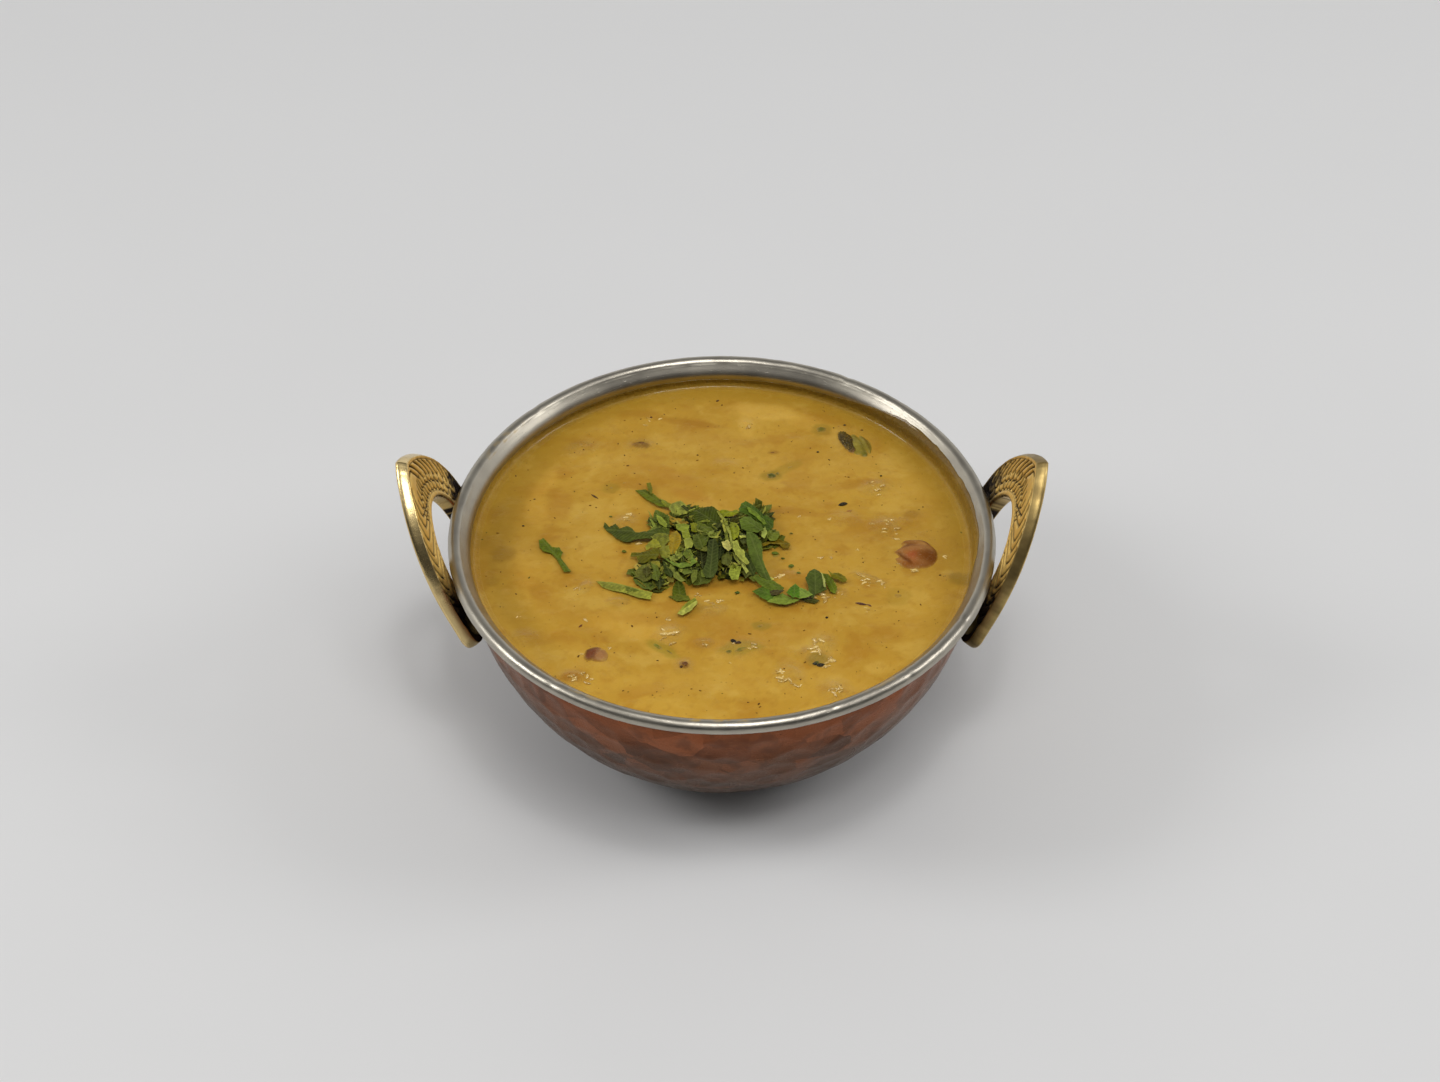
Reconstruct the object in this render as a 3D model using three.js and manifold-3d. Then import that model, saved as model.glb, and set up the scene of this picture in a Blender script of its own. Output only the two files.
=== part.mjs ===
// Bowl of vegetable korma: a small two-handled serving bowl with a hammered
// copper shell, a stainless steel liner with a rolled rim, two cast brass
// handles, the korma that fills it, and the garnish and vegetables on top.
//
// Millimetres, +Z up. Origin: centre of the flat base, on the surface the bowl
// stands on. +X runs through the right-hand handle, -Y is the front.
import * as THREE from 'three';
import { mergeVertices } from 'three/addons/utils/BufferGeometryUtils.js';
import Module from 'manifold-3d';

const wasm = await Module();
wasm.setup();

// ---------------------------------------------------------------- dimensions
const RIM_RADIUS = 72.5;        // outer radius of the rolled rim
const RIM_HEIGHT = 63.8;        // top of the rim above the base
const BEAD_RADIUS = 1.9;        // half the thickness of the rolled rim
const BOWL_DROP = 3.3;          // centre of the bowl's curve, below the rim top
const SHELL_RADIUS = 68.5;      // outside of the copper
const SHELL_WALL = 0.6;
const SKIN_GAP = 0.35;          // between copper and steel, and steel and food
const LINER_WALL = 0.65;
const AROUND = 48;              // segments round the bowl
const ARC_STEPS = 9;            // steps down each wall

const FOOD_DROP = 7.4;          // level of the korma below the rim top
const FOOD_WAVE = 0.3;          // how uneven its surface is
const FOOD_CREEP = 0.6;         // how far it climbs the wall at its edge

const HANDLE_LEAN = 69.6;       // degrees from horizontal
const HANDLE_REACH = 73.25;      // face of the handle from the axis, at rim height
const HANDLE_TOP = 24.4;        // along the slope, above rim height
const HANDLE_WAIST = -16.5;      // where the arch ends and the feet begin
const HANDLE_HALF = 23.3;       // half the width over both arms
const HOLE_TOP = 7.2;
const HOLE_HALF = 13.4;
const ARCH_SHAPE = [1.25, 2.6]; // how pointed the arch is, across and along
const HOLE_SHAPE = [1.9, 2.7];
const FOOT_CENTRE = [17.2, -20.8];
const FOOT_HALF = 6.1;
const FOOT_ROUND = 6.5;
const THICK_OUTER = 3.1;        // plate thickness at the outer edge
const THICK_INNER = 4.4;        // and round the hole
const EDGE_BREAK = 0.45;        // rounding of the plate's edges
const BOSS_RADIUS = 4.2;        // boss that carries each foot on the wall
const BOSS_AT = [16.2, -20.5];
const FIT_GAP = 0.4;            // foot to wall

const HEAP_CENTRE = [-3, -1.5];
const HEAP_REACH = 15.5;
const HEAP_HEIGHT = 4.6;
// lobes of the heap's outline: direction in degrees, extra reach, half-width in degrees
const HEAP_LOBES = [
  [162, 13, 8], [130, 12, 9], [55, 5, 20], [8, 5, 12], [-31, 21, 14],
  [-70, -4.5, 18], [-108, 6, 8], [-140, 7, 22], [180, 4, 12],
];

// pieces that stand out of the korma: centre, half sizes, turn, how far the top stands up
const TOMATO = { at: [52, -2.7], half: [6.2, 5.0, 3.3], turn: -8, up: 1.7, lump: 0.10 };
const BEAN = { at: [-32.1, -41], half: [3.4, 2.8, 2.2], turn: -12, up: 1.4, lump: 0.08 };
const POD = { at: [36.6, 41.2], half: [3.7, 5.2, 2.0], turn: 14, up: 1.3, lump: 0.09 };

const BOWL_CENTRE = RIM_HEIGHT - BOWL_DROP;
const FOOD_LEVEL = RIM_HEIGHT - FOOD_DROP;
const LINER_OUT = SHELL_RADIUS - SHELL_WALL - SKIN_GAP;
const LINER_IN = LINER_OUT - LINER_WALL;
const FOOD_RADIUS = LINER_IN - SKIN_GAP;
const rad = (d) => (d * Math.PI) / 180;

// ------------------------------------------------------------------ geometry
// One closed mesh with shared vertices, no slivers, faces outward.
function closed(geometry) {
  let g = geometry.clone();
  g.deleteAttribute('normal');
  g.deleteAttribute('uv');
  g = mergeVertices(g, 1e-4);
  const src = g.index.array;
  const keep = [];
  for (let i = 0; i < src.length; i += 3) {
    const [a, b, c] = [src[i], src[i + 1], src[i + 2]];
    if (a !== b && b !== c && a !== c) keep.push(a, b, c);
  }
  const p = g.attributes.position;
  const [A, B, C] = [new THREE.Vector3(), new THREE.Vector3(), new THREE.Vector3()];
  let volume = 0;
  for (let i = 0; i < keep.length; i += 3) {
    A.fromBufferAttribute(p, keep[i]);
    B.fromBufferAttribute(p, keep[i + 1]);
    C.fromBufferAttribute(p, keep[i + 2]);
    volume += A.dot(B.cross(C));
  }
  if (volume < 0) for (let i = 0; i < keep.length; i += 3) [keep[i + 1], keep[i + 2]] = [keep[i + 2], keep[i + 1]];
  g.setIndex(keep);
  return g;
}

// Revolves a profile of [radius, height] pairs, from the axis back to the axis.
function turned(profile, around = AROUND) {
  const g = new THREE.LatheGeometry(profile.map(([r, z]) => new THREE.Vector2(Math.max(r, 0), z)), around);
  g.rotateX(Math.PI / 2);
  return closed(g);
}

function solid(geometry) {
  const g = closed(geometry);
  return new wasm.Manifold(new wasm.Mesh({
    numProp: 3,
    vertProperties: new Float32Array(g.attributes.position.array),
    triVerts: new Uint32Array(g.index.array),
  }));
}

function fromSolid(m) {
  const mesh = m.getMesh();
  const g = new THREE.BufferGeometry();
  g.setAttribute('position', new THREE.BufferAttribute(new Float32Array(mesh.vertProperties), 3));
  g.setIndex(Array.from(mesh.triVerts));
  return closed(g);
}

// Points on the bowl's curve at radius R, from height low to height high. The
// walls share the same angles, so their facets stay parallel.
function arc(R, low, high, steps = ARC_STEPS) {
  const a0 = Math.asin((low - BOWL_CENTRE) / R);
  const a1 = Math.asin((high - BOWL_CENTRE) / R);
  const out = [];
  for (let i = 0; i <= steps; i++) {
    const a = a0 + ((a1 - a0) * i) / steps;
    out.push([R * Math.cos(a), BOWL_CENTRE + R * Math.sin(a)]);
  }
  return out;
}

// ---------------------------------------------------------------------- bowl
const shellTop = RIM_HEIGHT - 2 * BEAD_RADIUS - SKIN_GAP;
const copperShell = turned([
  [0, 0],
  ...arc(SHELL_RADIUS, 0, shellTop),
  ...arc(SHELL_RADIUS - SHELL_WALL, SHELL_WALL, shellTop).reverse(),
  [0, SHELL_WALL],
]);

// The liner flares out near its top and rolls outward into the bead.
const beadCentre = [RIM_RADIUS - BEAD_RADIUS, RIM_HEIGHT - BEAD_RADIUS];
const bead = [];
for (let i = 0; i <= 12; i++) {
  const a = rad(200 - (290 * i) / 12);      // from the inside, over the top, round to below
  bead.push([beadCentre[0] + BEAD_RADIUS * Math.cos(a), beadCentre[1] + BEAD_RADIUS * Math.sin(a)]);
}
const linerFloor = SHELL_WALL + SKIN_GAP + LINER_WALL;
const flareFrom = RIM_HEIGHT - 5.2;
const linerProfile = [
  [0, linerFloor],
  ...arc(LINER_IN, linerFloor, flareFrom),
  ...bead,
  ...arc(LINER_OUT, linerFloor - LINER_WALL, RIM_HEIGHT - 2 * BEAD_RADIUS).reverse(),
  [0, linerFloor - LINER_WALL],
];
const steelLiner = turned(linerProfile);

// -------------------------------------------------------------------- handle
// Half of the handle's outline, t = 0 at the top of the arch and 1 at the end of
// a foot. Returns [across, along the slope] for the outer and the inner edge.
function outline(t) {
  const arch = 0.74, leg = 0.82;
  const power = (v, e) => Math.pow(Math.max(v, 0), e);
  if (t <= arch) {
    const a = (t / arch) * Math.PI / 2;
    const s = Math.sin(a), c = Math.cos(a);
    return [
      [HANDLE_HALF * power(s, 2 / ARCH_SHAPE[0]), HANDLE_WAIST + (HANDLE_TOP - HANDLE_WAIST) * power(c, 2 / ARCH_SHAPE[1])],
      [HOLE_HALF * power(s, 2 / HOLE_SHAPE[0]), HANDLE_WAIST + (HOLE_TOP - HANDLE_WAIST) * power(c, 2 / HOLE_SHAPE[1])],
    ];
  }
  const [fy, fh] = FOOT_CENTRE;
  if (t <= leg) {
    const k = (t - arch) / (leg - arch);
    return [
      [HANDLE_HALF + (fy + FOOT_HALF - HANDLE_HALF) * k, HANDLE_WAIST + (fh - HANDLE_WAIST) * k],
      [HOLE_HALF + (fy - FOOT_HALF - HOLE_HALF) * k, HANDLE_WAIST + (fh - HANDLE_WAIST) * k],
    ];
  }
  const a = ((t - leg) / (1 - leg)) * rad(78);
  const h = fh - FOOT_ROUND * Math.sin(a);
  return [[fy + FOOT_HALF * Math.cos(a), h], [fy - FOOT_HALF * Math.cos(a), h]];
}

// side is -1 for the left handle and +1 for the right one. depth runs from the
// face that looks at the bowl to the back of the plate.
function handlePoint(side, y, h, depth) {
  const c = Math.cos(rad(HANDLE_LEAN)), s = Math.sin(rad(HANDLE_LEAN));
  return new THREE.Vector3(side * (HANDLE_REACH + h * c + depth * s), y, RIM_HEIGHT + h * s - depth * c);
}

function handlePlate(side) {
  const stations = [];
  const half = 17;
  for (let i = -half; i <= half; i++) {
    const [O, I] = outline(Math.abs(i) / half);
    const sy = i < 0 ? -1 : 1;
    const w = Math.hypot(O[0] - I[0], O[1] - I[1]);
    const b = Math.min(EDGE_BREAK / w, 0.3);
    const at = (u, d) => handlePoint(side, sy * (O[0] + (I[0] - O[0]) * u), O[1] + (I[1] - O[1]) * u, d);
    const ends = Math.abs(i) / half > 0.82 ? THICK_OUTER : THICK_INNER;
    stations.push([
      at(b, 0), at(1 - b, 0), at(1, EDGE_BREAK), at(1, ends - EDGE_BREAK),
      at(1 - b, ends), at(b, THICK_OUTER), at(0, THICK_OUTER - EDGE_BREAK), at(0, EDGE_BREAK),
    ]);
  }
  const n = stations[0].length;
  const position = stations.flat().flatMap((p) => [p.x, p.y, p.z]);
  const index = [];
  for (let i = 0; i + 1 < stations.length; i++) {
    for (let j = 0; j < n; j++) {
      const a = i * n + j, b = i * n + ((j + 1) % n);
      index.push(a, b, b + n, a, b + n, a + n);
    }
  }
  for (const [base, flip] of [[0, true], [(stations.length - 1) * n, false]]) {
    for (let j = 1; j + 1 < n; j++) {
      if (flip) index.push(base, base + j + 1, base + j);
      else index.push(base, base + j, base + j + 1);
    }
  }
  const g = new THREE.BufferGeometry();
  g.setAttribute('position', new THREE.Float32BufferAttribute(position, 3));
  g.setIndex(index);
  return closed(g);
}

// What the feet must clear: the shell's outside and the bead, grown by FIT_GAP.
const keepOut = solid(turned([
  [0, -5],
  ...arc(SHELL_RADIUS + FIT_GAP, -5, RIM_HEIGHT - 5),
  [RIM_RADIUS + FIT_GAP, RIM_HEIGHT - 2 * BEAD_RADIUS - FIT_GAP],
  [RIM_RADIUS + FIT_GAP, RIM_HEIGHT - 0.5],
  [0, RIM_HEIGHT - 0.5],
]));

function handle(side) {
  let whole = solid(handlePlate(side));
  for (const sy of [-1, 1]) {
    const from = handlePoint(side, sy * BOSS_AT[0], BOSS_AT[1], THICK_OUTER * 0.6);
    const to = handlePoint(side, sy * BOSS_AT[0], BOSS_AT[1], -5);
    const boss = new THREE.CylinderGeometry(BOSS_RADIUS, BOSS_RADIUS, from.distanceTo(to), 14);
    boss.applyQuaternion(new THREE.Quaternion().setFromUnitVectors(
      new THREE.Vector3(0, 1, 0), to.clone().sub(from).normalize()));
    const mid = from.clone().add(to).multiplyScalar(0.5);
    boss.translate(mid.x, mid.y, mid.z);
    whole = whole.add(solid(boss));
  }
  return fromSolid(whole.subtract(keepOut));
}

// ---------------------------------------------------------------------- food
// Height of the korma's surface.
function surface(x, y) {
  const r = Math.hypot(x, y);
  const wave = Math.sin(x * 0.11 + 0.6) * Math.cos(y * 0.13 - 0.4)
    + 0.6 * Math.sin((x + y) * 0.19 + 1.1) + 0.45 * Math.cos((x - 1.7 * y) * 0.16);
  const creep = FOOD_CREEP * Math.exp(-(FOOD_RADIUS - r) / 1.6);
  return FOOD_LEVEL + (FOOD_WAVE / 2) * wave * Math.min(1, (FOOD_RADIUS - r) / 8) + creep;
}

function lump({ at, half, turn, up, lump: uneven }, grow = 0, across = 14, down = 10) {
  const g = new THREE.SphereGeometry(1, across, down);
  const p = g.attributes.position;
  for (let i = 0; i < p.count; i++) {
    const [x, y, z] = [p.getX(i), p.getY(i), p.getZ(i)];
    const k = 1 + uneven * (Math.sin(2.3 * x + 1.1) * Math.cos(1.9 * y - 0.4) + 0.5 * Math.sin(3.1 * z + 2 * x));
    p.setXYZ(i, x * k * half[0], y * k * half[1], z * k * half[2]);
  }
  g.computeBoundingBox();
  const top = g.boundingBox.max.z;
  for (let i = 0; i < p.count; i++) {
    const v = new THREE.Vector3(p.getX(i), p.getY(i), p.getZ(i));
    v.addScaledVector(v.clone().normalize(), grow);
    p.setXYZ(i, v.x, v.y, v.z);
  }
  g.rotateZ(rad(turn));
  g.translate(at[0], at[1], surface(at[0], at[1]) + up - top);
  return closed(g);
}

function kormaBody() {
  const floor = linerFloor + SKIN_GAP;
  const wall = arc(FOOD_RADIUS, floor, FOOD_LEVEL);
  const top = [0.985, 0.95, 0.86, 0.74, 0.6, 0.45, 0.3, 0.15, 0].map((k) => [wall.at(-1)[0] * k, FOOD_LEVEL]);
  const g = turned([[0, floor], ...wall, ...top]);
  const p = g.attributes.position;
  for (let i = 0; i < p.count; i++) {
    if (Math.abs(p.getZ(i) - FOOD_LEVEL) < 1e-3) p.setZ(i, surface(p.getX(i), p.getY(i)));
  }
  return solid(g);
}
let kormaSolid = kormaBody();
for (const piece of [TOMATO, BEAN, POD]) kormaSolid = kormaSolid.subtract(solid(lump(piece, 0.42)));

// The heap of chopped coriander: its outline reaches out in lobes, its top is
// uneven, and its underside follows the korma.
function heapReach(a) {
  let reach = HEAP_REACH;
  for (const [dir, more, width] of HEAP_LOBES) {
    let d = ((a * 180) / Math.PI - dir) % 360;
    if (d > 180) d -= 360;
    if (d < -180) d += 360;
    reach += more * Math.exp(-((d / width) ** 2));
  }
  return reach;
}

function coriander() {
  const turns = 48;
  const rings = [0.3, 0.6, 0.85, 1];
  const position = [];
  const index = [];
  const place = (k, a, side) => {
    const r = heapReach(a) * k;
    const x = HEAP_CENTRE[0] + r * Math.cos(a), y = HEAP_CENTRE[1] + r * Math.sin(a);
    const base = surface(x, y) + 0.35;
    if (side < 0) return [x, y, base];
    const dome = Math.exp(-((r / 15) ** 2)) * HEAP_HEIGHT + 1.0;
    const rough = 1 + 0.22 * Math.sin(x * 0.9 + 2) * Math.cos(y * 0.8);
    return [x, y, base + 0.25 + dome * rough * Math.sqrt(Math.max(0, 1 - k ** 3))];
  };
  for (const side of [1, -1]) {
    position.push(...place(0, 0, side));
    for (const k of rings) for (let i = 0; i < turns; i++) position.push(...place(k, (2 * Math.PI * i) / turns, side));
  }
  const layer = 1 + rings.length * turns;
  for (const [base, flip] of [[0, false], [layer, true]]) {
    const tri = (a, b, c) => (flip ? index.push(a, c, b) : index.push(a, b, c));
    for (let i = 0; i < turns; i++) {
      const j = (i + 1) % turns;
      tri(base, base + 1 + i, base + 1 + j);
      for (let k = 0; k + 1 < rings.length; k++) {
        const a = base + 1 + k * turns, b = a + turns;
        tri(a + i, b + i, b + j);
        tri(a + i, b + j, a + j);
      }
    }
  }
  const rim = 1 + (rings.length - 1) * turns;
  for (let i = 0; i < turns; i++) {
    const j = (i + 1) % turns;
    index.push(rim + i, layer + rim + i, layer + rim + j, rim + i, layer + rim + j, rim + j);
  }
  const g = new THREE.BufferGeometry();
  g.setAttribute('position', new THREE.Float32BufferAttribute(position, 3));
  g.setIndex(index);
  return closed(g);
}

// --------------------------------------------------------------------- model
function piece(name, geometry, color, roughness, metalness) {
  geometry.computeVertexNormals();
  const mesh = new THREE.Mesh(geometry, new THREE.MeshStandardMaterial({ color, roughness, metalness, flatShading: true }));
  mesh.name = name;
  return mesh;
}

const bowl = new THREE.Group();
bowl.add(piece('copper_shell', copperShell, 0x6b4636, 0.38, 0.9));
bowl.add(piece('steel_liner', steelLiner, 0x96918a, 0.3, 1));
bowl.add(piece('handle_left', handle(-1), 0xa8864d, 0.3, 1));
bowl.add(piece('handle_right', handle(1), 0xa8864d, 0.3, 1));

const food = new THREE.Group();
food.add(piece('korma', fromSolid(kormaSolid), 0xb28a3a, 0.35, 0));
food.add(piece('coriander_heap', coriander(), 0x3c5a22, 0.55, 0));
food.add(piece('tomato_piece', lump(TOMATO), 0xa8552d, 0.25, 0));
food.add(piece('bean_piece', lump(BEAN, 0, 12, 8), 0x7c4626, 0.25, 0));
food.add(piece('green_pepper_piece', lump(POD, 0, 12, 8), 0x4c5a26, 0.3, 0));

const model = new THREE.Group();
model.add(bowl, food);
export default model;
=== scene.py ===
"""Looks of the bowl of vegetable korma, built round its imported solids.

Lengths in the code are millimetres in the part's frame (+X right handle, -Y front,
+Z up, origin on the table under the middle) and become metres in mesh_object().
"""

import math

import bpy
import numpy as np
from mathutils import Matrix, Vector
from mathutils.geometry import delaunay_2d_cdt


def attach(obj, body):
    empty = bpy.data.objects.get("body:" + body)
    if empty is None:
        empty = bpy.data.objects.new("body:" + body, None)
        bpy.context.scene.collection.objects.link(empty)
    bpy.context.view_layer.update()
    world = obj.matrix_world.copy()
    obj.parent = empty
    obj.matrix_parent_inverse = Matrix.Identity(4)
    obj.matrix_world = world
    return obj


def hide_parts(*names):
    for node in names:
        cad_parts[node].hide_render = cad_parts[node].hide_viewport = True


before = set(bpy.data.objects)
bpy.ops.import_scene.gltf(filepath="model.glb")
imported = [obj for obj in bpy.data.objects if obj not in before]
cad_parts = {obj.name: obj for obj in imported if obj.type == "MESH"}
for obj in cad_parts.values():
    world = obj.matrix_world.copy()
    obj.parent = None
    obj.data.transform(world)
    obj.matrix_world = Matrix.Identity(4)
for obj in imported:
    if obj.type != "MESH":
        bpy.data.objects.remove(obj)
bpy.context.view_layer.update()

MM = 0.001

# ------------------------------------------------------------------ dimensions
RIM_RADIUS, RIM_HEIGHT, BEAD_RADIUS = 72.5, 63.8, 1.9
BOWL_CENTRE = RIM_HEIGHT - 3.3
SHELL_OUT, SHELL_IN = 68.5, 67.95
LINER_OUT, LINER_IN = 67.55, 66.9
FOOD_LEVEL = RIM_HEIGHT - 7.4
FOOD_RADIUS = 66.55
HANDLE_LEAN, HANDLE_REACH = math.radians(69.6), 73.25
HANDLE_TOP, HANDLE_WAIST, HANDLE_HALF = 24.4, -16.5, 23.3
HOLE_TOP, HOLE_HALF = 7.2, 13.4
FOOT_Y, FOOT_H, FOOT_HALF, FOOT_ROUND = 17.2, -20.8, 6.1, 6.5
THICK_OUTER, THICK_INNER = 3.1, 4.4

rng = np.random.RandomState(20)


# ----------------------------------------------------------------------- noise
class Noise:
    """Seeded gradient noise in three dimensions, about -0.7 to 0.7."""

    def __init__(self, seed):
        r = np.random.RandomState(seed)
        p = r.permutation(256)
        self.p = np.concatenate([p, p, p])
        g = r.normal(size=(256, 3))
        self.g = g / np.linalg.norm(g, axis=1)[:, None]

    def __call__(self, x, y, z=0.0):
        x, y, z = np.broadcast_arrays(np.asarray(x, float), np.asarray(y, float), np.asarray(z, float))
        xi, yi, zi = np.floor(x).astype(int), np.floor(y).astype(int), np.floor(z).astype(int)
        xf, yf, zf = x - xi, y - yi, z - zi
        xi, yi, zi = xi & 255, yi & 255, zi & 255
        u, v, w = (t * t * t * (t * (t * 6 - 15) + 10) for t in (xf, yf, zf))
        total = 0.0
        for dx in (0, 1):
            for dy in (0, 1):
                for dz in (0, 1):
                    h = self.p[self.p[self.p[xi + dx] + yi + dy] + zi + dz]
                    g = self.g[h]
                    dot = g[..., 0] * (xf - dx) + g[..., 1] * (yf - dy) + g[..., 2] * (zf - dz)
                    total = total + dot * (u if dx else 1 - u) * (v if dy else 1 - v) * (w if dz else 1 - w)
        return total

    def fbm(self, x, y, z=0.0, octaves=4, gain=0.5, step=2.03):
        total, a, f = 0.0, 1.0, 1.0
        for k in range(octaves):
            total = total + a * self(np.asarray(x) * f + 17.3 * k, np.asarray(y) * f - 9.1 * k, np.asarray(z) * f + 3.7 * k)
            a, f = a * gain, f * step
        return total


def smooth(a, b, x):
    t = np.clip((np.asarray(x, float) - a) / (b - a), 0, 1)
    return t * t * (3 - 2 * t)


def lin(*rgb):
    """A colour on a 0 to 255 screen scale as linear numbers."""
    c = np.asarray(rgb, float) / 255
    return np.where(c <= 0.04045, c / 12.92, ((c + 0.055) / 1.055) ** 2.4)


def mix(a, b, t):
    t = np.asarray(t)[..., None]
    return np.asarray(a) * (1 - t) + np.asarray(b) * t


# ---------------------------------------------------------------------- meshes
def mesh_object(name, verts, faces, material, colours=None, vectors=None, flat=False, sharp=None):
    """verts (n, 3) in mm; faces a list of integer arrays, each (m, 3) or (m, 4)."""
    verts = np.asarray(verts, np.float64) * MM
    me = bpy.data.meshes.new(name)
    me.vertices.add(len(verts))
    me.vertices.foreach_set("co", verts.astype(np.float32).ravel())
    faces = [np.asarray(f, np.int32) for f in faces if len(f)]
    loops = np.concatenate([f.ravel() for f in faces])
    sizes = np.concatenate([np.full(len(f), f.shape[1], np.int32) for f in faces])
    me.loops.add(len(loops))
    me.loops.foreach_set("vertex_index", loops)
    me.polygons.add(len(sizes))
    me.polygons.foreach_set("loop_start", np.concatenate([[0], np.cumsum(sizes)[:-1]]).astype(np.int32))
    me.update(calc_edges=True)
    me.validate()
    if not flat:
        me.polygons.foreach_set("use_smooth", np.ones(len(me.polygons), bool))
    for key, value in (colours or {}).items():
        at = me.color_attributes.new(name=key, type="FLOAT_COLOR", domain="POINT")
        value = np.asarray(value, float)
        if value.ndim == 1:
            value = np.repeat(value[:, None], 3, axis=1)
        if value.shape[1] == 3:
            value = np.concatenate([value, np.ones((len(value), 1))], axis=1)
        at.data.foreach_set("color", value.astype(np.float32).ravel())
    for key, value in (vectors or {}).items():
        at = me.attributes.new(key, "FLOAT_VECTOR", "POINT")
        at.data.foreach_set("vector", np.asarray(value, np.float32).ravel())
    me.materials.append(material)
    ob = bpy.data.objects.new(name, me)
    bpy.context.scene.collection.objects.link(ob)
    return ob


def grid_faces(rows, cols, wrap=False, base=0, flip=False):
    """Quads over rows x cols vertices laid out row by row."""
    r = np.arange(rows - 1)[:, None]
    c = np.arange(cols if wrap else cols - 1)[None, :]
    a = base + r * cols + c
    b = base + r * cols + (c + 1) % cols
    q = np.stack([a, b, b + cols, a + cols], axis=-1).reshape(-1, 4)
    return q[:, ::-1] if flip else q


def fan(centre, ring, flip=False):
    ring = np.asarray(ring)
    f = np.stack([np.full(len(ring), centre), ring, np.roll(ring, -1)], axis=1)
    return f[:, ::-1] if flip else f


class Pile:
    """Joins many small closed meshes into one piece."""

    def __init__(self):
        self.v, self.q, self.t, self.c, self.k, self.n = [], [], [], [], [], 0

    def add(self, v, quads=(), tris=(), colour=None, local=None):
        v = np.asarray(v, float)
        if len(quads):
            self.q.append(np.asarray(quads) + self.n)
        if len(tris):
            self.t.append(np.asarray(tris) + self.n)
        self.v.append(v)
        colour = np.asarray(colour if colour is not None else (1, 1, 1), float)
        self.c.append(np.broadcast_to(colour, (len(v), 3)) if colour.ndim == 1 else colour)
        self.k.append(np.zeros((len(v), 3)) if local is None else np.asarray(local, float))
        self.n += len(v)

    def object(self, name, material):
        faces = ([np.concatenate(self.q)] if self.q else []) + ([np.concatenate(self.t)] if self.t else [])
        return mesh_object(name, np.concatenate(self.v), faces, material,
                           colours={"tint": np.concatenate(self.c)}, vectors={"leafco": np.concatenate(self.k)})


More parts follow.
